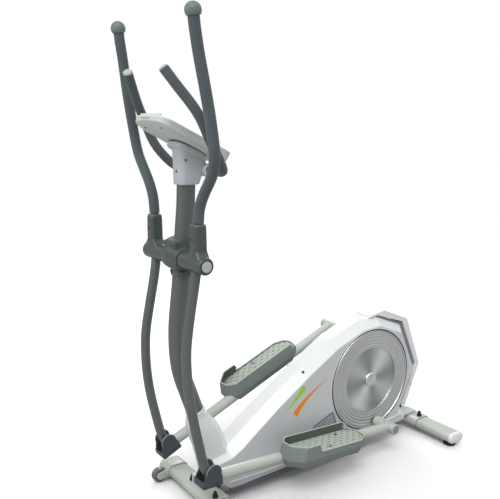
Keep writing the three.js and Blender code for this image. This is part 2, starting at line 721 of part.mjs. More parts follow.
function linkPin(side) {
  const mid = side * ARM_Y;
  const reach = FORK_CHEEK.inner + FORK_CHEEK.thick;
  return alongArm(side, join(
    new THREE.CylinderGeometry(7, 7, 2 * reach + 4, 12).translate(0, mid, 0),
    new THREE.CylinderGeometry(11, 11, 3, 6).translate(0, mid + reach + GAP + 1.5, 0),
    new THREE.CylinderGeometry(11, 11, 3, 6).translate(0, mid - reach - GAP - 1.5, 0),
  ));
}

// Stub pin through the arm's rear hub: its inner end stops just short of the crank disc.
function crankPin(side) {
  return turnedY(side, PIN[side].x, PIN[side].z, [
    [0, ARM_HUB.from - 0.9], [12, ARM_HUB.from - 0.9], [12, ARM_HUB.to + GAP],
    [ARM_HUB_R, ARM_HUB.to + GAP], [ARM_HUB_R - 2, ARM_HUB.to + 4], [0, ARM_HUB.to + 4],
  ], 16);
}

// Moulded cover round the link: two domed cheeks with a slot between them for the swing tube.
function forkCover(side) {
  const half = 30;
  const wall = 3;
  const mid = side * ARM_Y;
  const dome = (extra) => new THREE.Shape()
    .moveTo(-46 - extra, -24 - extra)
    .lineTo(34 + extra, -21 - extra)
    .lineTo(28 + extra, 18)
    .absarc(-2, 25, 28 + extra, 0, Math.PI, false)
    .lineTo(-44 - extra, 0);
  const outer = slab(dome(0), mid - half, mid + half, 6);
  const inner = slab(dome(-wall), mid - half + wall, mid + half - wall, 5);
  const slot = block(-80, 60, mid - SWING_TUBE_R - 6, mid + SWING_TUBE_R + 6, 8, 90);
  const rearDoor = block(10, 60, mid - 24, mid + 24, -22, 25);
  const behind = block(14, 60, mid - half - 2, mid + half + 2, 34, 90);
  return alongArm(side, cut(outer, inner, slot, rearDoor, behind));
}

// Foot tray. Its outline is narrow in front, its outer wall is high in front and low behind.
const PEDAL = {
  from: 292, to: 634, inner: 114, outer: 234, deck: 26, wallTop: 57, low: 30, skirt: -20, step: 408,
};

function pedal(side) {
  const { from, to, inner, outer, deck, wallTop, low, skirt, step } = PEDAL;
  const outline = (inset) => new THREE.Shape()
    .moveTo(from + 26, inner + inset)
    .lineTo(to - 34, inner + inset)
    .quadraticCurveTo(to - 2 - inset, inner + 14, to - inset, (inner + outer) / 2)
    .quadraticCurveTo(to - 2 - inset, outer - 20, to - 40, outer - inset)
    .lineTo(from + 44, outer - inset)
    .lineTo(from + inset, outer - 40)
    .lineTo(from + inset, inner + 26);
  const wall = 4;
  const body = plate(outline(0), skirt, wallTop, 4);
  const tray = plate(outline(wall), deck, wallTop + 1, 4);
  const under = plate(outline(wall), skirt - 1, deck - 5, 4);
  const ribs = plate(outline(wall - 1), deck - 12, deck - 5, 4);
  const lowRear = block(step, to + 20, inner + wall + 1, outer + 20, low, wallTop + 2);
  const rearSlope = block(to - 26, to + 20, inner - 20, outer + 20, low, wallTop + 2);
  const tubeWell = new THREE.CylinderGeometry(ARM_TUBE_R + 0.8, ARM_TUBE_R + 0.8, 520, 16)
    .rotateZ(Math.PI / 2).translate((from + to) / 2, ARM_Y, 0);
  const halfTube = ARM_TUBE_R + GAP;
  const tubeOpening = block(from - 10, to + 10, ARM_Y - halfTube, ARM_Y + halfTube, skirt - 2, 0);
  const whole = join(cut(body, tray, under), common(ribs, body));
  const shaped = cut(whole, lowRear, rearSlope, tubeWell, tubeOpening);
  return alongArm(side, onSide(shaped, side));
}

// ---------------------------------------------------------------- console
// Runs in the console's own frame: X towards the user, Z out of the screen, then tilted into place.
function onConsole(geometry) {
  return geometry.rotateY(CONSOLE_TILT).translate(CONSOLE.x, 0, CONSOLE.z);
}

// Plan outline of the console: an arched front edge, and sides that run in slightly to the rear.
function consoleOutline(inset) {
  const w = CONSOLE.width / 2 - inset;
  const d = CONSOLE.depth / 2 - inset;
  return new THREE.Shape()
    .moveTo(-d + 34, -w)
    .quadraticCurveTo(-d + 6, -w, -d + 4, -w + 34)
    .quadraticCurveTo(-d - 4, 0, -d + 4, w - 34)
    .quadraticCurveTo(-d + 6, w, -d + 34, w)
    .lineTo(d - 30, w - 6)
    .quadraticCurveTo(d - 2, w - 8, d, w - 40)
    .lineTo(d, -w + 40)
    .quadraticCurveTo(d - 2, -w + 8, d - 30, -w + 6);
}

const SCREEN = { x0: -92, x1: 14, y0: -70, y1: 70 };
const BUTTONS = [-48, 0, 48].map((y) => ({ x: 62, y, width: 24, depth: 16 }));

function consoleBack() {
  const shell = plate(consoleOutline(0), -CONSOLE.thick, -10, 4);
  const hollow = plate(consoleOutline(3), -CONSOLE.thick + 4, 0, 4);
  // the underside rises towards the front edge
  const rise = 16;
  const run = 100;
  const under = block(-2 * run, 0, -CONSOLE.width, CONSOLE.width, -40, 0)
    .rotateY(Math.atan2(rise, run))
    .translate(-CONSOLE.depth / 2 + run, 0, -CONSOLE.thick);
  const inside = block(-2 * run, 0, 3 - CONSOLE.width / 2, CONSOLE.width / 2 - 3, 0, 3)
    .rotateY(Math.atan2(rise, run))
    .translate(-CONSOLE.depth / 2 + run, 0, -CONSOLE.thick);
  return onConsole(common(join(cut(shell, hollow, under), common(inside, shell)), cut(shell, under)));
}

function consoleFace() {
  const body = plate(consoleOutline(0), -10 + GAP, 0, 4);
  const hollow = plate(consoleOutline(3), -20, -4, 4);
  const screenWell = block(SCREEN.x0 - GAP, SCREEN.x1 + GAP, SCREEN.y0 - GAP, SCREEN.y1 + GAP, -8, 4);
  const wells = BUTTONS.map(({ x, y, width, depth }) => block(
    x - depth / 2 - GAP, x + depth / 2 + GAP, y - width / 2 - GAP, y + width / 2 + GAP, -8, 4,
  ));
  const rest = block(-CONSOLE.depth / 2 + 10, -CONSOLE.depth / 2 + 16, -64, 64, -1, 9);
  return onConsole(cut(join(cut(body, hollow), rest), screenWell, ...wells));
}

function consoleScreen() {
  return onConsole(block(SCREEN.x0, SCREEN.x1, SCREEN.y0, SCREEN.y1, -7, -1));
}

function consoleButton({ x, y, width, depth }) {
  return onConsole(block(x - depth / 2, x + depth / 2, y - width / 2, y + width / 2, -7, 2.2));
}

// Moulded head between post and console: a tapered neck with a flange under the console.
const HEAD = { bottom: 1110, tall: 200, flange: 16 };
const HANDLE_BOSS = { x: -355, z: 1154, half: 52, r: 21 };

function consoleHead() {
  const { bottom, tall, flange } = HEAD;
  const neck = new THREE.ExtrudeGeometry(roundedRect(100, 70, 24), {
    depth: tall, bevelEnabled: false, curveSegments: 3,
  }).translate(0, 0, bottom);
  const leaning = tapered(neck, bottom, bottom + tall, (x, y, t) => {
    const centre = THREE.MathUtils.lerp(-411, -376, t);
    return [centre + x * THREE.MathUtils.lerp(0.74, 1.52, t), y * THREE.MathUtils.lerp(0.94, 1.23, t)];
  });
  const under = -CONSOLE.thick - flange;
  const trimmed = cut(leaning, onConsole(block(-300, 300, -200, 200, under + 2, 300)));
  const seat = onConsole(plate(roundedRect(116, 104, 34, 30, 0), under, -CONSOLE.thick - GAP, 3));
  const { x: bossX, z: bossZ, r, half } = HANDLE_BOSS;
  const boss = barY(1, bossX, bossZ, r, -half, half, 14);
  return cut(join(trimmed, seat, boss), postWell(1), fixedBar(FIXED_TUBE_R + 1, 0));
}

// ---------------------------------------------------------------- fixed handlebar
const FIXED_TUBE_R = 14;
const FIXED_HALF = [
  [HANDLE_BOSS.x, 30, HANDLE_BOSS.z], [HANDLE_BOSS.x, 84, HANDLE_BOSS.z],
  [-356, 122, 1153], [-370, 152, 1162], [-402, 177, 1200], [-430, 186, 1242],
  [-466, 182, 1320], [-490, 169, 1362], [-514, 148, 1402], [-543, 121, 1454],
];
const FIXED_GRIP_FROM = 1180;

// The whole bent bar, or a sleeve or well that follows it.
function fixedBar(radius, bore, boreSides = 6) {
  const route = [...sided(FIXED_HALF, LEFT).reverse(), ...FIXED_HALF];
  return bentTube(route, radius, bore, 24, 10, boreSides);
}

function fixedGrip(side) {
  const sleeve = fixedBar(GRIP_R, FIXED_TUBE_R + GAP, 10);
  const inner = 60;
  const outer = 240;
  const [y0, y1] = side === LEFT ? [-outer, -inner] : [inner, outer];
  return common(sleeve, block(-600, -300, y0, y1, FIXED_GRIP_FROM, 1500));
}

// ---------------------------------------------------------------- assembly
addPiece('main_frame', mainFrame(), 'paleGreenMetal');
addPiece('front_post', frontPost(), 'greyGreenMetal');
const frontHoles = CLAMP_SCREWS.slice(0, 2).map(clampHole);
const rearHoles = [...CLAMP_SCREWS.slice(2).map(clampHole), studHole(LEFT), studHole(RIGHT)];
addPiece('front_stabilizer', footTube(FRONT_FOOT, frontHoles), 'paleGreenMetal');
addPiece('rear_stabilizer', footTube(REAR_FOOT, rearHoles), 'paleGreenMetal');
CLAMP_SCREWS.forEach((screw) => addPiece(`clamp_knob_${screw.name}`, clampKnob(screw), 'blackPlastic'));

function clampHole({ x, y }) {
  return barZ(x, y, 4 + GAP, 48, 80, 8);
}

function studHole(side) {
  return barZ(REAR_FOOT.x, side * FOOT_Y, 4 + GAP, 10, 32, 8);
}

bothSides((side, word) => {
  addPiece(`front_end_cap_${word}`, frontEndCap(side), 'paleGreenMetal');
  addPiece(`transport_wheel_${word}`, transportWheel(side), 'silver');
  addPiece(`rear_end_cap_${word}`, rearEndCap(side), 'whiteGloss');
  addPiece(`leveling_foot_${word}`, levelingFoot(side), 'blackPlastic');
  addPiece(`shroud_${word}`, caseShell(side), 'whiteGloss');
  addPiece(`crank_disc_${word}`, crankDisc(side), 'silver');
  addPiece(`swing_tube_${word}`, swingTube(side), 'greyGreenMetal');
  addPiece(`hub_cover_${word}`, hubCover(side), 'greyGreenPlastic');
  addPiece(`handle_tube_${word}`, handleTube(side), 'greyGreenMetal');
  addPiece(`handle_grip_${word}`, handleGrip(side), 'foam');
  addPiece(`handle_knob_${word}`, handleKnob(side), 'knobPlastic');
  addPiece(`pedal_arm_${word}`, pedalArm(side), 'paleGreenMetal');
  addPiece(`link_pin_${word}`, linkPin(side), 'steel');
  addPiece(`crank_pin_${word}`, crankPin(side), 'steel');
  addPiece(`fork_cover_${word}`, forkCover(side), 'slatePlastic');
  addPiece(`pedal_${word}`, pedal(side), 'greyGreenPlastic');
  addPiece(`fixed_grip_${word}`, fixedGrip(side), 'foam');
});

addPiece('shroud_rear_cap', rearCap(), 'whiteGloss');
addPiece('post_boot', postBoot(), 'whiteGloss');
addPiece('crank_shaft', crankShaft(), 'steel');
addPiece('drive_pulley', drivePulley(), 'blackPlastic');
addPiece('flywheel', flywheel(), 'castIron');
addPiece('idler_roller', idlerRoller(), 'blackPlastic');
addPiece('drive_belt', belt(), 'beltRubber');
addPiece('pivot_axle', pivotAxle(), 'steel');
addPiece('pivot_cover_front', pivotCover(true), 'greyGreenPlastic');
addPiece('pivot_cover_rear', pivotCover(false), 'greyGreenPlastic');
addPiece('console_back', consoleBack(), 'consoleGrey');
addPiece('console_face', consoleFace(), 'consoleWhite');
addPiece('console_screen', consoleScreen(), 'darkGlass');
BUTTONS.forEach((button, i) => addPiece(`console_button_${i + 1}`, consoleButton(button), 'knobPlastic'));
addPiece('console_head', consoleHead(), 'coolGrey');
addPiece('fixed_handlebar', fixedBar(FIXED_TUBE_R, FIXED_TUBE_R - WALL), 'greyGreenMetal');

export default trainer;
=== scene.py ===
"""Elliptical trainer: the looks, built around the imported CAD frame.

Shapes are drawn in the CAD's layout millimetres (X from the console to the drive, -Y the user's left, Z up)
and turned into metres in the row frame by row(). Pedal parts are drawn in the arm's own frame.
"""

import json
import math

import bmesh
import bpy
from mathutils import Matrix, Vector


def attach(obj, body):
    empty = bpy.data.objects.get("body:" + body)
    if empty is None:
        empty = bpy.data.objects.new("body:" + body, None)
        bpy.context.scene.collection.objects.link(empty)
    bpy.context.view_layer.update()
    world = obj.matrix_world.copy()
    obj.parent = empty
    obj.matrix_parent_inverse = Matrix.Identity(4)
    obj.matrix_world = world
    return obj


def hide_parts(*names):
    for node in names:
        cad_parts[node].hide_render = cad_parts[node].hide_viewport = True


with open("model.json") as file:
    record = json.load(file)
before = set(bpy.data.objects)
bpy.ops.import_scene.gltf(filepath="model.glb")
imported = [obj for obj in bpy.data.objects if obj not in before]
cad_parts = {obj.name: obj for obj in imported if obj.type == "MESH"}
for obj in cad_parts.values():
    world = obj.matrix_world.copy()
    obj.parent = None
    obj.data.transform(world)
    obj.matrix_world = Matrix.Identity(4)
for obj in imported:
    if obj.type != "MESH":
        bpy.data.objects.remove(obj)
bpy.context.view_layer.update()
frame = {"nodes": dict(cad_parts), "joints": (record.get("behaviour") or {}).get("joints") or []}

# ---------------------------------------------------------------- places
MM = 0.001
CENTRE_X = 79.45  # layout X of the row frame's X = 0
SIDES = {"left": -1, "right": 1}
JOINT = {j["name"]: j.get("pos_m") for j in frame["joints"]}


def row(point):
    """A layout point in millimetres as a row point in metres."""
    return Vector(((point[0] - CENTRE_X) * MM, point[1] * MM, point[2] * MM))


def layout(joint):
    """(x, z) of a joint's axis in layout millimetres."""
    x, _, z = JOINT[joint]
    return x / MM + CENTRE_X, z / MM


PIVOT_X, PIVOT_Z = layout("swing_left")
LINK_X, LINK_Z = layout("link_left")
CRANK_X, CRANK_Z = layout("crank_turn")
WHEEL_X, WHEEL_Z = layout("wheel_spin_left")
REAR_FOOT_X, _ = layout("foot_turn_left")
ARM_Y = 142
ARM_LENGTH = 825.6
CRANK_RADIUS = 181

OWN = Matrix.Scale(MM, 4)  # millimetres about a piece's own origin
ROW = OWN @ Matrix.Translation((-CENTRE_X, 0, 0))  # layout millimetres to the row frame


def arm_angle(side):
    """The pedal arm's slope at rest: each crank pin lies square to the line from the crank to the link."""
    towards_link = math.atan2(CRANK_Z - LINK_Z, CRANK_X - LINK_X) - math.pi / 2
    turn = towards_link if side < 0 else towards_link + math.pi
    pin_x = CRANK_X + CRANK_RADIUS * math.cos(turn)
    pin_z = CRANK_Z + CRANK_RADIUS * math.sin(turn)
    return math.atan2(pin_z - LINK_Z, pin_x - LINK_X)


def arm_frame(side):
    """Arm frame (X along the arm from the link, Y across, Z up) to the row frame."""
    return ROW @ Matrix.Translation((LINK_X, 0, LINK_Z)) @ Matrix.Rotation(-arm_angle(side), 4, "Y")


CONSOLE_TILT = math.radians(25.6)
CONSOLE_AT = (-417, 0, 1267)
CONSOLE_FRAME = ROW @ Matrix.Translation(CONSOLE_AT) @ Matrix.Rotation(CONSOLE_TILT, 4, "Y")


# ---------------------------------------------------------------- outlines
def lerp(a, b, t):
    return a + (b - a) * t


def rounded(points, radius=0.0, closed=True, steps=4):
    """The outline with arcs for corners. A point may carry its own radius as a third number."""
    out = []
    count = len(points)
    for i, point in enumerate(points):
        here = Vector(point[:2])
        r = point[2] if len(point) > 2 else radius
        if r <= 0 or (not closed and i in (0, count - 1)):
            out.append(here)
            continue
        back = Vector(points[i - 1][:2]) - here
        ahead = Vector(points[(i + 1) % count][:2]) - here
        half = back.angle(ahead) / 2
        if half > math.pi / 2 - 0.01:  # nearly straight: the same number of points, close together
            out += [here + ahead.normalized() * 0.02 * (k - steps / 2) for k in range(steps + 1)]
            continue
        reach = min(r / math.tan(half), 0.48 * back.length, 0.48 * ahead.length)
        back.normalize()
        ahead.normalize()
        r = reach * math.tan(half)
        centre = here + (back + ahead).normalized() * (r / math.sin(half))
        a = here + back * reach - centre
        b = here + ahead * reach - centre
        turn = a.angle(b)
        for k in range(steps + 1):
            t = k / steps
            out.append(centre + (a * math.sin((1 - t) * turn) + b * math.sin(t * turn)) / math.sin(turn))
    return out


def inset(points, distance):
    """The outline moved inwards by a distance, for points listed in either sense."""
    count = len(points)
    flat = [Vector(p[:2]) for p in points]
    area = sum(flat[i - 1].cross(flat[i]) for i in range(count))
    sign = 1 if area > 0 else -1
    out = []
    for i, here in enumerate(flat):
        back = (here - flat[i - 1]).normalized()
        ahead = (flat[(i + 1) % count] - here).normalized()
        n0 = Vector((-back.y, back.x)) * sign
        n1 = Vector((-ahead.y, ahead.x)) * sign
        bisector = n0 + n1
        spot = here + bisector * (distance / max(0.25, bisector.dot(n1)))
        out.append((spot.x, spot.y, *points[i][2:]))
    return out


def oval(cx, cy, width, height, corner, steps=6):
    """A rounded rectangle about (cx, cy)."""
    w, h = width / 2, height / 2
    corners = [(cx - w, cy - h), (cx + w, cy - h), (cx + w, cy + h), (cx - w, cy + h)]
    return rounded(corners, min(corner, w - 0.01, h - 0.01), steps=steps)


def smooth_route(points, spacing=9.0, passes=3):
    """Points at even spacing along a smooth line through the given ones."""
    pts = [Vector(p) for p in points]
    ends = [2 * pts[0] - pts[1], *pts, 2 * pts[-1] - pts[-2]]
    dense = []
    for i in range(1, len(ends) - 2):
        p0, p1, p2, p3 = ends[i - 1: i + 3]
        t1 = math.sqrt((p1 - p0).length)
        t2 = t1 + math.sqrt((p2 - p1).length)
        t3 = t2 + math.sqrt((p3 - p2).length)
        for k in range(24):
            t = lerp(t1, t2, k / 24)
            a1 = p0 * ((t1 - t) / t1) + p1 * (t / t1)
            a2 = p1 * ((t2 - t) / (t2 - t1)) + p2 * ((t - t1) / (t2 - t1))
            a3 = p2 * ((t3 - t) / (t3 - t2)) + p3 * ((t - t2) / (t3 - t2))
            b1 = a1 * ((t2 - t) / t2) + a2 * (t / t2)
            b2 = a2 * ((t3 - t) / (t3 - t1)) + a3 * ((t - t1) / (t3 - t1))
            dense.append(b1 * ((t2 - t) / (t2 - t1)) + b2 * ((t - t1) / (t2 - t1)))
    dense.append(pts[-1])
    lengths = [0.0]
    for a, b in zip(dense, dense[1:]):
        lengths.append(lengths[-1] + (b - a).length)
    count = max(4, round(lengths[-1] / spacing))
    even, j = [], 0
    for i in range(count + 1):
        goal = lengths[-1] * i / count
        while j < len(lengths) - 2 and lengths[j + 1] < goal:
            j += 1
        share = (goal - lengths[j]) / max(1e-9, lengths[j + 1] - lengths[j])
        even.append(dense[j].lerp(dense[j + 1], min(1.0, share)))
    for _ in range(passes):
        inner = [(a + 2 * b + c) / 4 for a, b, c in zip(even, even[1:], even[2:])]
        even = [even[0], *inner, even[-1]]
    return even


def sided(route, side):
    return [(x, side * y, z) for x, y, z in route]


def clip_route(route, low, high):
    """The part of an upward route between two heights."""
    return [p for p in route if low <= p.z <= high]


# ---------------------------------------------------------------- meshes: (vertices, faces)
def loft(rings, capped=True):
    """Quads between rings of equal count, with flat ends."""
    count = len(rings[0])
    verts = [Vector(v) for ring in rings for v in ring]
    faces = []
    for r in range(len(rings) - 1):
        a, b = r * count, (r + 1) * count
        for i in range(count):
            j = (i + 1) % count
            faces.append((a + i, a + j, b + j, b + i))
    if capped:
        faces.append(tuple(range(count))[::-1])
        faces.append(tuple(range(len(verts) - count, len(verts))))
    return verts, faces


def sweep(route, radius, sides=28, end_round=0.0):
    """A round bar along a route, its far end rounded off by a radius."""
    tangents = []
    for i in range(len(route)):
        a, b = route[max(0, i - 1)], route[min(len(route) - 1, i + 1)]
        tangents.append((b - a).normalized())
    up = Vector((0, 1, 0)) if abs(tangents[0].y) < 0.9 else Vector((0, 0, 1))
    rings = []
    for centre, along in zip(route, tangents):
        up = (up - along * up.dot(along)).normalized()
        across = along.cross(up)
        circle = [
            up * math.cos(2 * math.pi * k / sides) + across * math.sin(2 * math.pi * k / sides)
            for k in range(sides)
        ]
        rings.append([centre + c * radius for c in circle])
    if end_round:
        for share in (0.25, 0.55, 0.85):
            r = radius - end_round * (1 - math.cos(share * math.pi / 2))
            end = centre + along * end_round * math.sin(share * math.pi / 2)
            rings.append([end + c * r for c in circle])
    return loft(rings)


def lathe(profile, sides=48):
    """A solid turned about Z from (radius, height) points that start and end on the axis."""
    verts, faces, rings = [], [], []
    for r, h in profile:
        if r < 1e-6:
            rings.append([len(verts)])
            verts.append(Vector((0, 0, h)))
        else:
            rings.append(list(range(len(verts), len(verts) + sides)))
            verts.extend(
                Vector((r * math.cos(2 * math.pi * k / sides), r * math.sin(2 * math.pi * k / sides), h))
                for k in range(sides)
            )
    for a, b in zip(rings, rings[1:]):
        for k in range(sides):
            j = (k + 1) % sides
            if len(a) == 1 and len(b) > 1:
                faces.append((a[0], b[k], b[j]))
            elif len(b) == 1 and len(a) > 1:
                faces.append((a[k], a[j], b[0]))
            elif len(a) > 1:
                faces.append((a[k], a[j], b[j], b[k]))
    return verts, faces


def moved(mesh, matrix):
    return [matrix @ v for v in mesh[0]], mesh[1]


def along_y(x, z, side=1, y=0.0):
    """Turns a lathe's Z axis outwards along Y on one side, at (x, z)."""
    return Matrix.Translation((x, side * y, z)) @ Matrix.Rotation(-side * math.pi / 2, 4, "X")


def prism(outline, y0, y1):
    """A side outline (x, z) stretched along Y."""
    return loft([[(p[0], y, p[1]) for p in outline] for y in (y0, y1)])


def plate(outline, z0, z1):
    """A plan outline (x, y) stretched along Z."""
    return loft([[(p[0], p[1], z) for p in outline] for z in (z0, z1)])


def box(x0, x1, y0, y1, z0, z1):
    return plate([(x0, y0), (x1, y0), (x1, y1), (x0, y1)], z0, z1)


def merged(*meshes):
    verts, faces = [], []
    for vs, fs in meshes:
        start = len(verts)
        verts.extend(vs)
        faces.extend(tuple(i + start for i in f) for f in fs)
    return verts, faces


def mirrored(mesh):
    """The mesh on the other side of the centre plane."""
    return [Vector((v.x, -v.y, v.z)) for v in mesh[0]], [f[::-1] for f in mesh[1]]


def on_side(mesh, side):
    """A mesh drawn on the right (+Y), or its mirror image on the left."""
    return mesh if side > 0 else mirrored(mesh)


# ---------------------------------------------------------------- pieces
def outward(mesh_data):
    """Points every face outwards and merges doubled vertices."""
    bm = bmesh.new()
    bm.from_mesh(mesh_data)
    bmesh.ops.remove_doubles(bm, verts=bm.verts, dist=2e-6)
    bmesh.ops.recalc_face_normals(bm, faces=bm.faces)
    bm.to_mesh(mesh_data)
    bm.free()


def raw_object(name, mesh, matrix=ROW):
    data = bpy.data.meshes.new(name)
    data.from_pydata([matrix @ Vector(v) for v in mesh[0]], [], mesh[1])
    outward(data)
    obj = bpy.data.objects.new(name, data)
    bpy.context.scene.collection.objects.link(obj)
    return obj


def applied(obj):
    """Bakes the object's modifiers into its mesh."""
    graph = bpy.context.evaluated_depsgraph_get()
    graph.update()
    data = bpy.data.meshes.new_from_object(obj.evaluated_get(graph))
    old = obj.data
    obj.modifiers.clear()
    obj.data = data
    bpy.data.meshes.remove(old)
    return obj


def boolean(obj, tool, operation, overlapping=False):
    """Combines a piece with a tool. The piece may be made of overlapping parts."""
    change = obj.modifiers.new("boolean", "BOOLEAN")
    change.operation = operation
    change.object = tool
    change.solver = "EXACT"
    change.use_self = overlapping
    applied(obj)
    bpy.data.objects.remove(tool)
    return obj


def cut(obj, *meshes, matrix=ROW):
    for mesh in meshes:
        boolean(obj, raw_object("tool", mesh, matrix), "DIFFERENCE")
    return obj


def fuse(obj, *meshes, matrix=ROW):
    for mesh in meshes:
        boolean(obj, raw_object("tool", mesh, matrix), "UNION")
    return obj


def soften(obj, voxel, passes):
    """Melts overlapping solids into one skin with filleted corners."""
    remesh = obj.modifiers.new("remesh", "REMESH")
    remesh.mode = "VOXEL"
    remesh.voxel_size = voxel * MM
    smooth = obj.modifiers.new("smooth", "SMOOTH")
    smooth.iterations = passes
    smooth.factor = 0.5
    return applied(obj)


def bevelled(obj, width, segments=3, angle=30):
    bevel = obj.modifiers.new("bevel", "BEVEL")
    bevel.width = width * MM
    bevel.segments = segments
    bevel.limit_method = "ANGLE"
    bevel.angle_limit = math.radians(angle)
    bevel.miter_outer = "MITER_ARC"
    return applied(obj)


def settle(obj, body, material, replaces=(), sharp=35, weighted=False):
    """Gives a finished piece its shading, material and body."""
    for polygon in obj.data.polygons:
        polygon.use_smooth = True
    obj.data.set_sharp_from_angle(angle=math.radians(sharp))
    if weighted:
        obj.modifiers.new("weighted", "WEIGHTED_NORMAL").keep_sharp = True
        applied(obj)
    obj.data.materials.clear()
    obj.data.materials.append(material)
    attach(obj, body)
    if replaces:
        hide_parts(*replaces)
    return obj


def piece(name, mesh, body, material, replaces=(), matrix=ROW, sharp=35, bevel=0.0):
    """A finished piece from one mesh."""
    obj = raw_object(name, mesh, matrix)
    if bevel:
        bevelled(obj, bevel)
    return settle(obj, body, material, replaces, sharp, bool(bevel))


def turned_piece(name, profile, sides, place, body, material, replaces=(), sharp=35):
    """A lathed piece drawn about its own axis, which its material follows."""
    obj = raw_object(name, lathe(profile, sides), OWN)
    obj.matrix_world = unit(place)
    return settle(obj, body, material, replaces, sharp)


def unit(matrix):
    """The place and turn of a matrix, without its scale."""
    where, turn, _ = matrix.decompose()
    return Matrix.Translation(where) @ turn.to_matrix().to_4x4()


# ---------------------------------------------------------------- materials
class Nodes:
    """A small builder for one material's node tree."""

    def __init__(self, name):
        self.material = bpy.data.materials.new(name)
        self.material.use_nodes = True
        self.tree = self.material.node_tree
        self.shader = self.tree.nodes["Principled BSDF"]
        self.place = self.add("ShaderNodeTexCoord").outputs["Object"]

    def add(self, kind, **settings):
        node = self.tree.nodes.new(kind)
        for key, value in settings.items():
            if key in node.inputs:
                node.inputs[key].default_value = value
            else:
                setattr(node, key, value)
        return node

    def link(self, output, socket):
        self.tree.links.new(output, socket)

    def noise(self, scale, detail=3.0, stretch=None):
        node = self.add("ShaderNodeTexNoise", Scale=scale, Detail=detail)
        if stretch:
            mapping = self.add("ShaderNodeMapping")
            mapping.inputs["Scale"].default_value = stretch
            self.link(self.place, mapping.inputs["Vector"])
            self.link(mapping.outputs[0], node.inputs["Vector"])
        else:
            self.link(self.place, node.inputs["Vector"])
        return node.outputs[0]

    def spread(self, value, low, high, start=0.3, end=0.7):
        """Maps a field onto a range of numbers."""
        node = self.add("ShaderNodeMapRange")
        node.inputs["From Min"].default_value = start
        node.inputs["From Max"].default_value = end
        node.inputs["To Min"].default_value = low
        node.inputs["To Max"].default_value = high
        self.link(value, node.inputs["Value"])
        return node.outputs[0]

    def blend(self, value, dark, light):
        node = self.add("ShaderNodeMix", data_type="RGBA")
        colours = [s for s in node.inputs if s.type == "RGBA"]
        colours[0].default_value = (*dark, 1)
        colours[1].default_value = (*light, 1)
        self.link(value, node.inputs[0])
        return next(s for s in node.outputs if s.type == "RGBA")

    def math(self, operation, *values):
        node = self.add("ShaderNodeMath", operation=operation)
        for socket, value in zip(node.inputs, values):
            if isinstance(value, (int, float)):
                socket.default_value = value
            else:
                self.link(value, socket)
        return node.outputs[0]

    def bump(self, height, distance, strength=1.0, under=None):
        node = self.add("ShaderNodeBump", Strength=strength, Distance=distance)
        self.link(height, node.inputs["Height"])
        if under is not None:
            self.link(under, node.inputs["Normal"])
        return node.outputs[0]

    def set(self, **values):
        for key, value in values.items():
            self.shader.inputs[key.replace("_", " ")].default_value = value


def shade(colour, factor):
    return tuple(min(1.0, c * factor) for c in colour)


def surface(name, colour, rough, metal=0.0, grain=700.0, depth=0.000012, drift=0.05, coat=0.0):
    """Moulded plastic or paint: slow colour drift, fine roughness change and a fine grain in the relief."""
    n = Nodes(name)
    slow = n.spread(n.noise(7.0, 4.0), 0.0, 1.0)
    n.link(n.blend(slow, shade(colour, 1 - drift), shade(colour, 1 + drift)), n.shader.inputs["Base Color"])
    n.link(n.spread(n.noise(60.0, 5.0), rough - 0.05, rough + 0.06), n.shader.inputs["Roughness"])
    n.link(n.bump(n.noise(grain, 2.0), depth), n.shader.inputs["Normal"])
    n.set(Metallic=metal, Coat_Weight=coat, Coat_Roughness=0.1)
    return n.material


def tread_painted_shade(name, painted_crease_shade, painted_crest_highlight, low, high):
    """Moulded tread with painted shade in its creases and a painted highlight on its crests, by height in
    the pedal's own frame.
    """
    n = Nodes(name)
    split = n.add("ShaderNodeSeparateXYZ")
    n.link(n.place, split.inputs[0])
    level = n.spread(split.outputs[2], 0.0, 1.0, low * MM, high * MM)
    n.link(n.blend(level, painted_crease_shade, painted_crest_highlight), n.shader.inputs["Base Color"])
    n.link(n.spread(n.noise(60.0, 5.0), 0.42, 0.56), n.shader.inputs["Roughness"])
    n.link(n.bump(n.noise(700.0, 2.0), 0.000015), n.shader.inputs["Normal"])
    return n.material


def foam_surface(name, colour):
    """Dark foam rubber: a cellular skin with pores and a soft sheen."""
    n = Nodes(name)
    cells = n.add("ShaderNodeTexVoronoi", Scale=520.0)
    n.link(n.place, cells.inputs["Vector"])
    pores = n.noise(1500.0, 3.0)
    slow = n.spread(n.noise(11.0, 4.0), 0.0, 1.0)
    n.link(n.blend(slow, shade(colour, 0.9), shade(colour, 1.1)), n.shader.inputs["Base Color"])
    n.link(n.spread(n.noise(90.0), 0.72, 0.88), n.shader.inputs["Roughness"])
    n.link(n.bump(pores, 0.00012, 0.6, n.bump(cells.outputs[0], 0.00018, 0.6)), n.shader.inputs["Normal"])
    n.set(Sheen_Weight=0.25, Sheen_Roughness=0.5)
    return n.material


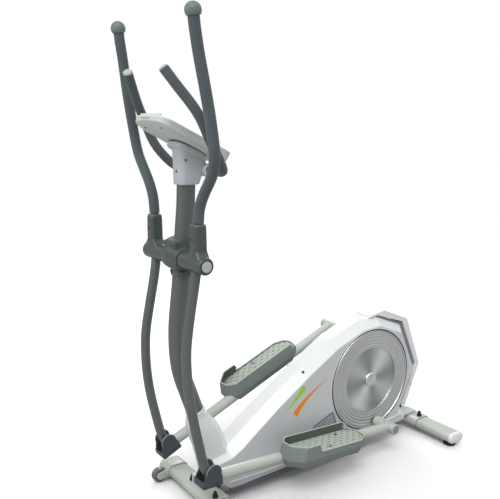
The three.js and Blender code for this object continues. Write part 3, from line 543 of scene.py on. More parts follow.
def brushed_with_painted_fans(name, dark, light, rough, heading, painted_fans):
    """Metal turned on a lathe: fine rings about the object's own Z axis, a highlight stretched round that
    axis, and painted highlight and painted shade in wedges round it in the base colour.
    """
    n = Nodes(name)
    split = n.add("ShaderNodeSeparateXYZ")
    n.link(n.place, split.inputs[0])
    x, y = split.outputs[0], split.outputs[1]
    radius = n.math("SQRT", n.math("ADD", n.math("MULTIPLY", x, x), n.math("MULTIPLY", y, y)))
    rings = n.add("ShaderNodeTexNoise", Scale=1.0, Detail=4.0, noise_dimensions="1D")
    n.link(n.math("MULTIPLY", radius, 900.0), rings.inputs["W"])
    # painted highlight and painted shade: bright and dark wedges round the axis, set by heading, in the base
    # colour
    angle = n.math("ARCTAN2", y, x)
    four = n.math("COSINE", n.math("MULTIPLY_ADD", angle, 4.0, -4 * heading))
    two = n.math("COSINE", n.math("MULTIPLY_ADD", angle, 2.0, -2 * heading))
    painted_fan = n.math("MULTIPLY_ADD", four, 0.3 * painted_fans, n.math("MULTIPLY_ADD", two, 0.16 * painted_fans, 0.46))
    rings_and_painted_fan = n.math("MULTIPLY_ADD", rings.outputs[0], 0.16, n.math("SUBTRACT", painted_fan, 0.08))
    n.link(n.blend(rings_and_painted_fan, dark, light), n.shader.inputs["Base Color"])
    n.link(n.spread(rings.outputs[0], rough - 0.04, rough + 0.05), n.shader.inputs["Roughness"])
    n.link(n.bump(rings.outputs[0], 0.000004, 0.4), n.shader.inputs["Normal"])
    n.set(Metallic=1.0, Anisotropic=0.7)
    around = n.add("ShaderNodeTangent", direction_type="RADIAL", axis="Z")
    n.link(around.outputs[0], n.shader.inputs["Tangent"])
    return n.material


def screen_surface(name):
    """Dark display glass with a faint plain grid of dots behind it."""
    n = Nodes(name)
    dots = n.add("ShaderNodeTexVoronoi", Scale=160.0)
    dots.inputs["Randomness"].default_value = 0.0
    n.link(n.place, dots.inputs["Vector"])
    n.link(n.blend(n.spread(dots.outputs[0], 0.0, 1.0), (0.055, 0.07, 0.068), (0.035, 0.046, 0.046)),
           n.shader.inputs["Base Color"])
    n.link(n.spread(n.noise(40.0), 0.1, 0.18), n.shader.inputs["Roughness"])
    n.link(n.bump(n.noise(300.0), 0.000005), n.shader.inputs["Normal"])
    n.set(Coat_Weight=0.6, Coat_Roughness=0.04)
    return n.material


MAST = surface("mast_enamel", (0.128, 0.148, 0.137), 0.36, 0.3, coat=0.4)
FRAME_PAINT = surface("pale_enamel", (0.53, 0.57, 0.52), 0.36, 0.1, coat=0.4)
COVER = surface("cover_plastic", (0.07, 0.09, 0.089), 0.36, depth=0.000016, coat=0.25)
COVER_LIGHT = surface("cover_rim", (0.17, 0.2, 0.195), 0.4, depth=0.000016)
SLATE = surface("slate_plastic", (0.05, 0.07, 0.076), 0.36, depth=0.000016)
SLATE_LIGHT = surface("slate_rim", (0.27, 0.305, 0.3), 0.42, depth=0.000016)
PEDAL_BODY = surface("pedal_plastic", (0.2, 0.24, 0.225), 0.46, depth=0.000016)
PEDAL_WALL = surface("pedal_wall", (0.085, 0.108, 0.09), 0.6, depth=0.00006)
PEDAL_RIM = surface("pedal_rim", (0.5, 0.56, 0.52), 0.45, depth=0.000016)
# painted shade in the tread's creases and a painted highlight on its crests
TREAD_PAINTED_SHADE = tread_painted_shade("pedal_tread_painted_shade", (0.2, 0.23, 0.19), (0.5, 0.56, 0.49), 26.6, 28.6)
FOAM = foam_surface("foam_rubber", (0.088, 0.107, 0.117))
KNOB = surface("knob_plastic", (0.19, 0.225, 0.22), 0.45, depth=0.000016)
PLUG = surface("end_plug_plastic", (0.5, 0.54, 0.52), 0.45, depth=0.000016)
WHITE = surface("white_gloss", (0.83, 0.85, 0.855), 0.34, grain=60.0, depth=0.00001, drift=0.01, coat=0.6)
# painted shade: the white shell's plastic drawn darker and cooler for the side faces
PANEL_SHADE = surface("panel_painted_shade", (0.63, 0.645, 0.665), 0.35, grain=60.0, depth=0.00001, drift=0.015, coat=0.4)
GROOVE_LIGHT = surface("groove_lavender", (0.24, 0.245, 0.285), 0.45)
GROOVE = surface("groove_violet", (0.16, 0.155, 0.19), 0.45, depth=0.000016)
HEAD_GREY = surface("head_grey", (0.6, 0.615, 0.66), 0.36, grain=90.0, depth=0.00001, drift=0.015, coat=0.2)
CONSOLE_WHITE = surface("console_shell", (0.72, 0.745, 0.715), 0.4, depth=0.000016, drift=0.02)
CONSOLE_GREY = surface("console_base", (0.36, 0.375, 0.36), 0.42, depth=0.000016)
CONSOLE_GREY_LIGHT = surface("console_base_light", (0.66, 0.71, 0.67), 0.42, depth=0.000016, drift=0.02)
BLACK = surface("black_plastic", (0.012, 0.012, 0.013), 0.4, depth=0.000016)
# dark seams, and the painted shade behind the vent grilles
DARK = surface("dark_recess", (0.035, 0.037, 0.042), 0.6, depth=0.000016)
# the three turned metals carry painted highlight and painted shade in wedges in their base colour, strongest
# on the spun centre
RIM_SILVER = brushed_with_painted_fans("disc_silver", (0.6, 0.62, 0.63), (0.84, 0.85, 0.87), 0.36, math.radians(55), 0.1)
BRUSHED_PAINTED_FANS = brushed_with_painted_fans("brushed_centre_painted_fans", (0.33, 0.36, 0.355), (0.98, 1.0, 1.0), 0.34, math.radians(55), 1.0)
TURNED = brushed_with_painted_fans("turned_cap", (0.75, 0.78, 0.77), (0.92, 0.95, 0.94), 0.38, math.radians(55), 0.2)
STEEL = surface("zinc_steel", (0.42, 0.43, 0.43), 0.36, 1.0, depth=0.000016)
IRON = surface("cast_iron", (0.1, 0.1, 0.105), 0.55, 0.8, grain=500.0, depth=0.00012)
WHEEL = surface("wheel_plastic", (0.2, 0.21, 0.21), 0.36, 0.4, depth=0.000016)
BELT = surface("belt_rubber", (0.02, 0.02, 0.02), 0.75, depth=0.00008)
SCREEN = screen_surface("display_glass")
ACCENT_ORANGE = surface("accent_orange", (0.95, 0.27, 0.01), 0.4, drift=0.03)
ACCENT_GREEN = surface("accent_green", (0.34, 0.7, 0.03), 0.4, drift=0.03)


# ---------------------------------------------------------------- post and its boot
POST_R = 30
POST_ROUTE = smooth_route([
    (-411, 0, 1150), (-416, 0, 1040), (-425, 0, 950), (-438, 0, 800), (-457, 0, 620),
    (-449, 0, 500), (-418, 0, 400), (-370, 0, 270), (-320, 0, 140),
])


def make_post():
    piece("front_post_tube", sweep(POST_ROUTE, POST_R, 40), "frame", MAST, ["front_post"],
          sharp=60)


def make_boot():
    """White two-faced boot round the post, with a rolled lip at its top and a flared foot."""
    seat, bottom, top = 168, 198, 336
    bottom_x, top_x = -342, -392
    section = [(-52, -28), (-28, -43), (30, -43), (58, -24), (58, 24), (30, 43), (-28, 43), (-52, 28)]
    corners = rounded(section, 9, steps=4)
    rings = []
    for z in (bottom, 204, 228, 252, 276, 296, 310, 320, 328, 333, top):
        t = (z - bottom) / (top - bottom)
        centre = lerp(bottom_x, top_x, t)
        bulge = 1 + 0.1 * math.sin(math.pi * t)
        long, wide = bulge * lerp(1, 0.74, t), bulge * lerp(1.05, 0.84, t)
        round_share = smooth_step(0.62, 1.0, t)
        collar_r = POST_R + (5.4 if z == top else 7)
        ring = []
        for x, y in corners:
            flat = Vector((x * long, y * wide))
            ring.append((*(Vector((centre, 0)) + flat.lerp(flat.normalized() * collar_r, round_share)), z))
        rings.append(ring)
    boot = raw_object("post_boot_shell", loft(rings))
    cut(boot, sweep(POST_ROUTE, POST_R + 1.2, 32))
    settle(boot, "frame", WHITE, ["post_boot"], 30)
    lean = (bottom_x - top_x) / (top - bottom)
    levels = ((seat, 1.06), (bottom - 9, 1.02), (bottom - 3.5, 1.04), (bottom - 0.6, 1.03),
              (bottom - 0.5, 0.97))
    socket = [[(bottom_x + (bottom - z) * lean + x * g, y * g * 1.05, z) for x, y in corners] for z,
              g in levels]
    piece("post_boot_seat", loft(socket), "frame", WHITE, sharp=30)
    collar = sweep(smooth_route([post_at(322), post_at(341)], 4, 0), POST_R + 4.2, 40, 2.5)
    ring = raw_object("post_boot_lip", collar)
    cut(ring, sweep(POST_ROUTE, POST_R + 0.5, 40))
    settle(ring, "frame", WHITE, sharp=40)


def post_at(z):
    """The post's centre line at a height."""
    for a, b in zip(POST_ROUTE, POST_ROUTE[1:]):
        if b.z <= z <= a.z:
            return a.lerp(b, (a.z - z) / (a.z - b.z))
    return POST_ROUTE[0] if z > POST_ROUTE[0].z else POST_ROUTE[-1]


# ---------------------------------------------------------------- screws
def screw(name, centre, direction, radius, body, matrix=ROW, recess=1.0):
    """A dark countersunk screw: a ring round a sunk head."""
    head = lathe([
        (0, -0.6 * recess), (radius * 0.5, -0.6 * recess), (radius * 0.62, -1.4 * recess),
        (radius * 0.78, -1.2 * recess), (radius * 0.86, 0.5), (radius, 0.35), (radius, -2.4), (0, -2.4),
    ], 20)
    turn = Vector((0, 0, 1)).rotation_difference(Vector(direction).normalized()).to_matrix().to_4x4()
    obj = raw_object(name, moved(head, Matrix.Translation(centre) @ turn), matrix)
    return settle(obj, body, BLACK, sharp=40)


# ---------------------------------------------------------------- pivot head
def make_pivot_housing():
    """Barrel round the axle with an oval facet in front, and a clamp collar above and below it."""
    half = 50.3
    rings = []
    for i in range(13):
        y = lerp(-half, half, i / 12)
        grow = math.cos(y / half * math.pi / 2) ** 0.7 if abs(y) < half else 0
        r = 31 + 8.5 * grow
        ring = []
        for k in range(48):
            a = 2 * math.pi * k / 48
            x, z = r * math.cos(a), r * math.sin(a)
            facet = -33.2 + 0.0016 * y * y
            if x < facet:
                x = facet - 0.06 * (facet - x)
            ring.append((PIVOT_X + x, y, PIVOT_Z + z))
        rings.append(ring)
    barrel = loft(rings)
    lean = Matrix.Translation((PIVOT_X + 22, 0, PIVOT_Z + 2)) @ Matrix.Rotation(math.atan2(-14, 70), 4, "Y")
    collar_rings = []
    levels = [(-64, 0.93), (-62, 0.97), (-50, 0.98), (-49, 1.0), (-20, 1.0), (20, 1.0), (49, 1.0),
              (50, 0.98),
              (62, 0.97), (64, 0.93)]
    for z, grow in levels:
        collar_rings.append([(x * grow, y * grow, z) for x, y in oval(0, 0, 75, 74, 30, 7)])
    collar = moved(loft(collar_rings), lean)
    ears = [
        moved(loft([[(x, y, z) for x, y in oval(-22, s * 26, 30, 24, 7)] for z in (z0, z1)]), lean)
        for s in (-1, 1) for z0, z1 in ((-60, -40), (40, 60))
    ]
    shell = raw_object("pivot_housing", barrel)
    fuse(shell, collar, *ears)
    soften(shell, 1.7, 3)
    cut(shell, sweep(POST_ROUTE, POST_R + 0.6, 32),
        moved(lathe([(0, -90), (15.6, -90), (15.6, 90), (0, 90)], 32),
                                                        along_y(PIVOT_X, PIVOT_Z)))
    split = PIVOT_X + 20
    halves = {"front": (split - 120, split - 0.3), "rear": (split + 0.3, split + 120)}
    for word, (x0, x1) in halves.items():
        part = shell.copy()
        part.data = shell.data.copy()
        part.name = f"pivot_housing_{word}"
        bpy.context.scene.collection.objects.link(part)
        boolean(part, raw_object("tool", box(x0, x1, -90, 90, 700, 1100)), "INTERSECT")
        settle(part, "frame", COVER, [f"pivot_cover_{word}"], 42)
    bpy.data.objects.remove(shell)
    for i, (dy, dz) in enumerate(((-26, 50), (26, 50), (-26, -50), (26, -50))):
        spot = lean @ Vector((-37.2, dy, dz))
        screw(f"collar_screw_{i + 1}", spot, lean.to_3x3() @ Vector((-1, 0, 0)), 4.2, "frame")
    axle = moved(lathe([(0, -181), (10, -181), (10, 181), (0, 181)], 32), along_y(PIVOT_X, PIVOT_Z))
    heads = [
        moved(lathe([(0, 181), (15.5, 181), (16, 182), (16, 184.4), (15, 185), (0, 185)], 24),
              along_y(PIVOT_X, PIVOT_Z, s)) for s in (-1, 1)
    ]
    piece("pivot_axle_bar", merged(axle, *heads), "frame", STEEL, ["pivot_axle"], sharp=30)


HUB_IN, HUB_OUT, HUB_R = 52, 189, 27.5
SLEEVE_TOP = 1000


def make_hub_cover(side, word):
    """Cover over the swing hub, with the column for the handle tube and a V-shaped web where they meet."""
    body = f"swing_arm_{word}"
    hub = moved(lathe([
        (0, HUB_IN + 0.6), (HUB_R - 1.5, HUB_IN + 0.6), (HUB_R, HUB_IN + 2), (HUB_R, HUB_OUT - 5),
        (HUB_R - 3.4, HUB_OUT - 0.6), (0, HUB_OUT - 0.6),
    ], 48), along_y(PIVOT_X, PIVOT_Z, side))
    column = []
    for z in (PIVOT_Z - 12, PIVOT_Z, 905, 930, 955, 975, 990, 997, SLEEVE_TOP):
        t = max(0.0, (z - PIVOT_Z) / (SLEEVE_TOP - PIVOT_Z))
        grow = 1 - 0.05 * t - (0.13 if z == SLEEVE_TOP else 0.04 if z > 995 else 0)
        column.append([(PIVOT_X + x * grow, side * ARM_Y + y * grow, z) for x,
                       y in oval(0, 0, 46, 44, 13, 5)])
    web = []
    for z, inner, outer in ((PIVOT_Z, 96, 180), (PIVOT_Z + 22, 100, 176), (PIVOT_Z + 42, 122, 163)):
        web.append([(PIVOT_X + x, side * y, z) for x,
                    y in oval(0, (inner + outer) / 2, 44, outer - inner, 9, 4)])
    obj = raw_object(f"hub_cover_{word}_shell", hub)
    fuse(obj, loft(column), loft(web))
    soften(obj, 1.5, 4)
    route = smooth_route(sided(HANDLE_ROUTE, side))
    swing = smooth_route(sided(SWING_ROUTE, side))
    cut(obj, sweep(route, HANDLE_TUBE_R + 0.5, 24), sweep(swing, SWING_TUBE_R + 0.5, 24))
    settle(obj, body, COVER, [f"hub_cover_{word}"], 50)
    rim = moved(lathe([(0, 186), (HUB_R - 5.2, 186), (HUB_R - 4.6, 190), (HUB_R - 7.5, 191.2),
                       (HUB_R - 9, 189.4),
                       (0, 189.4)], 48), along_y(PIVOT_X, PIVOT_Z, side))
    piece(f"hub_ring_{word}", rim, body, SLATE, sharp=30)
    cap = moved(lathe([(0, 188), (17.6, 188), (17.6, 189.6), (16.6, 190.4), (9, 190.9), (0, 191)], 48),
                along_y(PIVOT_X, PIVOT_Z, side))
    piece(f"hub_badge_{word}", cap, body, PLUG, sharp=30)
    top = []
    for z, grow in ((SLEEVE_TOP - 3, 0.84), (SLEEVE_TOP, 0.86), (SLEEVE_TOP + 1.8, 0.84),
                    (SLEEVE_TOP + 2.6, 0.78)):
        top.append([(PIVOT_X + x * grow, side * ARM_Y + y * grow, z) for x, y in oval(0, 0, 46, 44, 13, 5)])
    lid = raw_object(f"hub_cover_{word}_rim", loft(top))
    cut(lid, sweep(route, GRIP_R + 0.4, 32))
    settle(lid, body, COVER_LIGHT, sharp=40)
    screw(f"column_screw_{word}", (PIVOT_X - 22.8, side * ARM_Y, 955), (-1, 0, 0), 4, body)
    screw(f"hub_screw_{word}", (PIVOT_X - 25.6, side * 82, PIVOT_Z + 9), (-1, 0, 0.35), 4, body)


# ---------------------------------------------------------------- swing arms and handles
SWING_TUBE_R = 16
HANDLE_TUBE_R = 12.5
GRIP_R = 17
SWING_ROUTE = [
    (PIVOT_X, 133, PIVOT_Z), (-467, 131, 800), (-487, 133, 700), (-503, 138, 600), (-503, 144, 500),
    (-492, 149, 400), (-470, 149, 290), (-447, 146, 200), (LINK_X, ARM_Y, LINK_Z),
]
HANDLE_ROUTE = [
    (-454, 142, 952), (-454, 143, 1010), (-453, 151, 1055), (-451, 177, 1100), (-451, 218, 1150),
    (-457, 245, 1200), (-472, 252, 1300), (-488, 249, 1400), (-503, 241, 1500), (-514, 240, 1575),
]
KNOB_AT = (-516.5, 240, 1604)
KNOB_R = 24
KNOB_CUT = 14  # how far below its centre the ball is cut flat


def make_swing_arm(side, word):
    body = f"swing_arm_{word}"
    tube = sweep(smooth_route(sided(SWING_ROUTE, side)), SWING_TUBE_R, 36)
    eye = moved(lathe([(0, ARM_Y - 16.8), (16, ARM_Y - 16.8), (17, ARM_Y - 15.8), (17, ARM_Y + 15.8),
                       (16, ARM_Y + 16.8), (0, ARM_Y + 16.8)], 40), along_y(LINK_X, LINK_Z, side))
    arm = raw_object(f"swing_tube_{word}_bar", tube)
    fuse(arm, eye)
    settle(arm, body, MAST, [f"swing_tube_{word}"], 40)

    route = smooth_route(sided(HANDLE_ROUTE, side))
    piece(f"handle_tube_{word}_bar", sweep(clip_route(route, 0, 1060), HANDLE_TUBE_R, 32), body,
          MAST,
          [f"handle_tube_{word}"], sharp=60)
    under_knob = Vector((KNOB_AT[0] + 1.3, side * KNOB_AT[1], KNOB_AT[2] - KNOB_CUT))
    grip = sweep([*clip_route(route, SLEEVE_TOP + 1, 1574), under_knob], GRIP_R, 40)
    piece(f"handle_grip_{word}_foam", grip, body, FOAM, [f"handle_grip_{word}"], sharp=60)

    ball = [(0, -KNOB_CUT), (19.4, -KNOB_CUT), (20.6, -KNOB_CUT + 1.2)]
    start = math.asin((-KNOB_CUT + 2.4) / KNOB_R)
    for i in range(15):
        a = lerp(start, math.pi / 2, i / 14)
        ball.append((KNOB_R * math.cos(a) if i < 14 else 0, KNOB_R * math.sin(a)))
    place = Matrix.Translation((KNOB_AT[0], side * KNOB_AT[1], KNOB_AT[2])) @ Matrix.Rotation(-0.1, 4, "Y")
    piece(f"handle_knob_{word}_ball", moved(lathe(ball, 48), place), body, KNOB,
          [f"handle_knob_{word}"], sharp=50)

    pin = moved(lathe([(0, -29), (9.6, -29), (11, -27.6), (11, -24.6), (7, -24.6), (7, 24.6), (11, 24.6),
                       (11, 27.6), (9.6, 29), (0, 29)], 24), along_y(LINK_X, LINK_Z, side, ARM_Y))
    piece(f"link_pin_{word}_bolt", pin, body, STEEL, [f"link_pin_{word}"], sharp=30)


# ---------------------------------------------------------------- fixed handlebar
FIXED_TUBE_R = 12.5
FIXED_GRIP_R = 15.4
BOSS_X, BOSS_Z = -355, 1154
FIXED_HALF = [
    (BOSS_X, 30, BOSS_Z), (BOSS_X, 84, BOSS_Z), (-356, 122, 1153), (-370, 152, 1162), (-402, 177, 1200),
    (-430, 186, 1242), (-466, 182, 1320), (-490, 169, 1362), (-514, 148, 1402), (-543, 121, 1454),
]


def make_fixed_bar():
    route = smooth_route([*sided(FIXED_HALF, -1)[::-1], *FIXED_HALF])
    piece("fixed_bar_tube", sweep(route, FIXED_TUBE_R, 32), "frame", MAST,
          ["fixed_handlebar"], sharp=60)
    for word, side in SIDES.items():
        half = [p for p in (route if side > 0 else route[::-1]) if p.y * side > 60]
        # past the tube's cut end the foam runs on a little, and a plug closes it
        along = (half[-1] - half[-2]).normalized()
        end = half[-1] + along * 3
        piece(f"fixed_grip_{word}_foam", sweep([*half, end], FIXED_GRIP_R, 40, 1.2), "frame", FOAM,
              [f"fixed_grip_{word}"], sharp=60)
        turn = Vector((0, 0, 1)).rotation_difference(along).to_matrix().to_4x4()
        plug = lathe([(0, -6), (14, -6), (14.2, -1), (15.6, 0), (15.6, 3), (14, 5.6), (10, 7.6), (5, 8.6),
                      (0, 8.8)], 40)
        piece(f"fixed_plug_{word}", moved(plug, Matrix.Translation(end) @ turn), "frame",
              PLUG, sharp=40)


# ---------------------------------------------------------------- console head
HEAD_BOTTOM = 1110
CONSOLE_W, CONSOLE_D, CONSOLE_T = 200, 283, 36
FLANGE_Z = (-CONSOLE_T - 16, -CONSOLE_T - 0.4)


def make_head():
    rings = []
    for i, z in enumerate((HEAD_BOTTOM, HEAD_BOTTOM + 1.5, 1114, 1140, 1170, 1200, 1230, 1260, 1290, 1310)):
        t = (z - HEAD_BOTTOM) / 200
        lip = (0.94, 0.98)[i] if i < 2 else 1.0
        rings.append([
            (lerp(-411, -376, t) + x * lerp(0.74, 1.52, t) * lip, y * lerp(0.94, 1.23, t) * lip, z)
            for x, y in oval(0, 0, 100, 70, 24, 7)
        ])
    neck = raw_object("console_head_neck", loft(rings))
    top = [Vector((x, y, z)) for x in (-300, 300) for y in (-200, 200) for z in (FLANGE_Z[0] + 2, 300)]
    faces = [(0, 1, 3, 2), (4, 6, 7, 5), (0, 4, 5, 1), (2, 3, 7, 6), (0, 2, 6, 4), (1, 5, 7, 3)]
    boolean(neck, raw_object("tool", (top, faces), CONSOLE_FRAME), "DIFFERENCE")
    boss = moved(lathe([(0, -51), (19.5, -51), (21, -49.5), (21, 49.5), (19.5, 51), (0, 51)], 40),
                 along_y(BOSS_X, BOSS_Z))
    fuse(neck, boss)
    cut(neck, sweep(POST_ROUTE, POST_R + 0.6, 32))
    settle(neck, "frame", HEAD_GREY, ["console_head"], 34)
    outline = oval(30, 0, 116, 104, 34, 8)
    flange = loft([
        [(30 + (x - 30) * g, y * g, z) for x, y in outline]
        for z, g in ((FLANGE_Z[0], 0.93), (FLANGE_Z[0] + 1.4, 0.975), (FLANGE_Z[0] + 4, 1.0),
                     (-CONSOLE_T - 4.5, 1.0),
                     (-CONSOLE_T - 4.2, 0.985), (-CONSOLE_T - 3.2, 0.985), (-CONSOLE_T - 2.9, 1.0),
                     (FLANGE_Z[1], 1.0))
    ])
    piece("console_head_flange", flange, "frame", HEAD_GREY, matrix=CONSOLE_FRAME, sharp=40)
    seam = [[(30 + (x - 30) * 0.99, y * 0.99, z) for x, y in outline] for z in (-CONSOLE_T - 1.0,
            -CONSOLE_T + 2.5)]
    piece("console_head_seam", loft(seam), "frame", DARK, matrix=CONSOLE_FRAME)
    for word, side in SIDES.items():
        screw(f"head_screw_{word}", (-432, side * 36.3, 1188), (-0.3, side, -0.1), 4.6, "frame")
    screw("head_screw_front", (-449.6, -6, 1152), (-1, -0.1, -0.15), 4.4, "frame")
    for word, side in SIDES.items():
        ring = lathe([(14.6, 51), (19.4, 51), (19.8, 53), (18.4, 54.4), (15.2, 54.4), (14.6, 51)], 40)
        piece(f"boss_ring_{word}", moved(ring, along_y(BOSS_X, BOSS_Z, side)), "frame",
              WHITE, sharp=40)


def console_outline(grow):
    """Plan outline of the console, moved in or out by a distance."""
    w, d = CONSOLE_W / 2 + grow, CONSOLE_D / 2 + grow
    points = []
    for k in range(13):
        y = lerp(-1, 1, k / 12)
        points.append((-d + 4 - 4 * (1 - y * y), y * (w - 34)))
    points += [(-d + 5, w - 32), (-d + 12, w - 12), (-d + 34, w), (d - 30, w - 6), (d - 8, w - 14),
               (d, w - 40)]
    points += [(d, -w + 40), (d - 8, -w + 14), (d - 30, -w + 6), (-d + 34, -w), (-d + 12, -w + 12),
               (-d + 5, -w + 32)]
    return rounded(points, 30, steps=3)


SCREEN_BOX = (-92, 14, -70, 70)
BUTTON_PLACES = [(62, y, 24, 16) for y in (-48, 0, 48)]


def console_under(x):
    """Height of the console's underside, which rises towards the front edge."""
    front = -CONSOLE_D / 2
    run = front + 100 - x
    return -CONSOLE_T + (16 * (run / 100) ** 1.3 if run > 0 else 0)


def make_console():
    outer, rim, foot, sole = (console_outline(g) for g in (0, -1.5, -9, -16))
    rings = [
        [(x, y, -10) for x, y in outer],
        [(x, y, -15) for x, y in outer],
        [(x, y, lerp(console_under(x), -15, 0.35)) for x, y in rim],
        [(x, y, lerp(console_under(x), -15, 0.08)) for x, y in foot],
        [(x, y, console_under(x)) for x, y in sole],
    ]
    base = raw_object("console_base_shell", loft(rings), CONSOLE_FRAME)
    settle(base, "frame", CONSOLE_GREY_LIGHT, ["console_back"], 30)

    top_rings = [
        [(x, y, -9.6) for x, y in outer],
        [(x, y, -3.5) for x, y in console_outline(1.2)],
        [(x, y, -0.8) for x, y in console_outline(0.2)],
        [(x, y, 0) for x, y in console_outline(-2.5)],
        [(x, y, 0) for x, y in console_outline(-9)],
        [(x, y, -2.2) for x, y in console_outline(-12)],
    ]
    face = raw_object("console_bezel", loft(top_rings), CONSOLE_FRAME)
    x0, x1, y0, y1 = SCREEN_BOX
    wells = [plate(oval((x0 + x1) / 2, 0, x1 - x0 + 2, y1 - y0 + 2, 6), -7.5, 4)]
    wells += [plate(oval(x, y, depth + 1.6, width + 1.6, 4), -6, 4) for x, y, width, depth in BUTTON_PLACES]
    cut(face, *wells, matrix=CONSOLE_FRAME)
    bevelled(face, 0.6, 2, 50)
    settle(face, "frame", CONSOLE_WHITE, ["console_face"], 35, True)

    rest = raw_object("book_rest", plate(oval(-CONSOLE_D / 2 + 13, 0, 7, 130, 3.4), -1.5, 9), CONSOLE_FRAME)
    bevelled(rest, 1.6, 3)
    settle(rest, "frame", CONSOLE_WHITE, weighted=True)
    tab = plate(rounded([(-8, -26), (10, -34), (10, 34), (-8, 26)], 6), -11, -2)
    shifted = moved(tab, Matrix.Translation((-CONSOLE_D / 2 + 2, 0, 0)))
    piece("console_front_tab", shifted, "frame", CONSOLE_WHITE, matrix=CONSOLE_FRAME,
          bevel=2.5)

    glass = raw_object("console_glass", plate(oval((x0 + x1) / 2, 0, x1 - x0, y1 - y0, 5), -7, -1),
                       CONSOLE_FRAME)
    bevelled(glass, 0.8, 3)
    settle(glass, "frame", SCREEN, ["console_screen"], weighted=True)
    frame_ring = raw_object("display_frame",
                            plate(oval((x0 + x1) / 2, 0, x1 - x0 - 12, y1 - y0 - 14, 4), -2, -0.6),
                            CONSOLE_FRAME)
    cut(frame_ring, plate(oval((x0 + x1) / 2, 0, x1 - x0 - 17, y1 - y0 - 19, 3), -4, 3),
        matrix=CONSOLE_FRAME)
    settle(frame_ring, "frame", CONSOLE_GREY)
    for i, (x, y, width, depth) in enumerate(BUTTON_PLACES):
        shape = oval(x, y, depth, width, 4, 5)
        cap = raw_object(f"console_key_{i + 1}", loft([
            [(x + (px - x) * g, y + (py - y) * g, z) for px, py in shape]
            for z, g in ((-7, 1.0), (1.0, 1.0), (1.9, 0.96), (2.3, 0.88), (2.0, 0.5))
        ]), CONSOLE_FRAME)
        settle(cap, f"button_{i + 1}", KNOB, [f"console_button_{i + 1}"], 40)
    for i, (x, y) in enumerate(((-104, -52), (-104, 52), (98, -62), (98, 62))):
        screw(f"console_screw_{i + 1}", (x, y, console_under(x) - 0.2), (0.14 if x < 0 else 0, 0, -1), 4.2,
              "frame",
              CONSOLE_FRAME)


# ---------------------------------------------------------------- drive casing
CASE_RIDGE = 30
CASE_HALF = 68
CASE_CHAMFER = (CASE_HALF - CASE_RIDGE) * 0.8
CASE_OUTLINE = [
    (-366, 66, 14), (-385, 176, 8), (-300, 188, 30), (-262, 208, 60), (-205, 249, 90), (-102, 320, 160),
    (40, 408, 240), (182, 489, 200), (323, 538, 90), (420, 541, 12), (560, 484, 12), (644, 296, 12),
    (566, 132, 14), (600, 98, 10), (598, 50, 8), (300, 34, 60), (-40, 24, 60), (-300, 16, 10),
]
DISC_R = 200


def case_ring(distance, y, steps=5):
    return [(p.x, y, p.y) for p in rounded(inset(CASE_OUTLINE, distance), 0, steps=steps)]


def make_casing():
    """Two shells with a flat top, a bevel and a side panel; each is open behind its crank disc."""
    sections = [(0, 0.25), (0, 27), (0.5, 30.5), (2.6, 33.5), (CASE_CHAMFER - 1.6, CASE_HALF - 2.4),
                (CASE_CHAMFER - 0.2, CASE_HALF - 0.6), (CASE_CHAMFER + 1.6, CASE_HALF)]
    inner = [(3, -1), (3, 27), (CASE_CHAMFER + 2, CASE_HALF - 3)]
    post_well = sweep(POST_ROUTE, POST_R + 7, 24)
    for word, side in SIDES.items():
        shell = raw_object(f"casing_{word}", on_side(loft([case_ring(d, y) for d, y in sections]), side))
        window = moved(lathe([(0, 40), (DISC_R + 2.4, 40), (DISC_R + 2.4, 90), (0, 90)], 96),
                       along_y(CRANK_X, CRANK_Z, side))
        cut(shell, on_side(loft([case_ring(d, y) for d, y in inner]), side), window, post_well,
            box(-420, 587, -27, 27, 17.6, 98), box(-470, -326, -140, 140, 0, 66),
            box(560, 720, -27, 27, 40, 74))
        settle(shell, "frame", WHITE, [f"shroud_{word}"], 24, True)


# side panel trims, all drawn on the right and mirrored to the left
PANEL_Y = CASE_HALF


def ribbon(route, widths):
    """A flat outline that follows a line with its own width at each point."""
    left, right = [], []
    for i, (p, w) in enumerate(zip(route, widths)):
        a, b = Vector(route[max(0, i - 1)]), Vector(route[min(len(route) - 1, i + 1)])
        along = (b - a).normalized()
        normal = Vector((-along.y, along.x))
        left.append(Vector(p) + normal * w / 2)
        right.append(Vector(p) - normal * w / 2)
    return left + right[::-1]


def curve2(points, count=20):
    """Points along a smooth plane line."""
    corners = [Vector(p) for p in points]
    total = sum((b - a).length for a, b in zip(corners, corners[1:]))
    route = smooth_route([(x, 0, z) for x, z in points], total / count, 1)
    return [(p.x, p.z) for p in route]


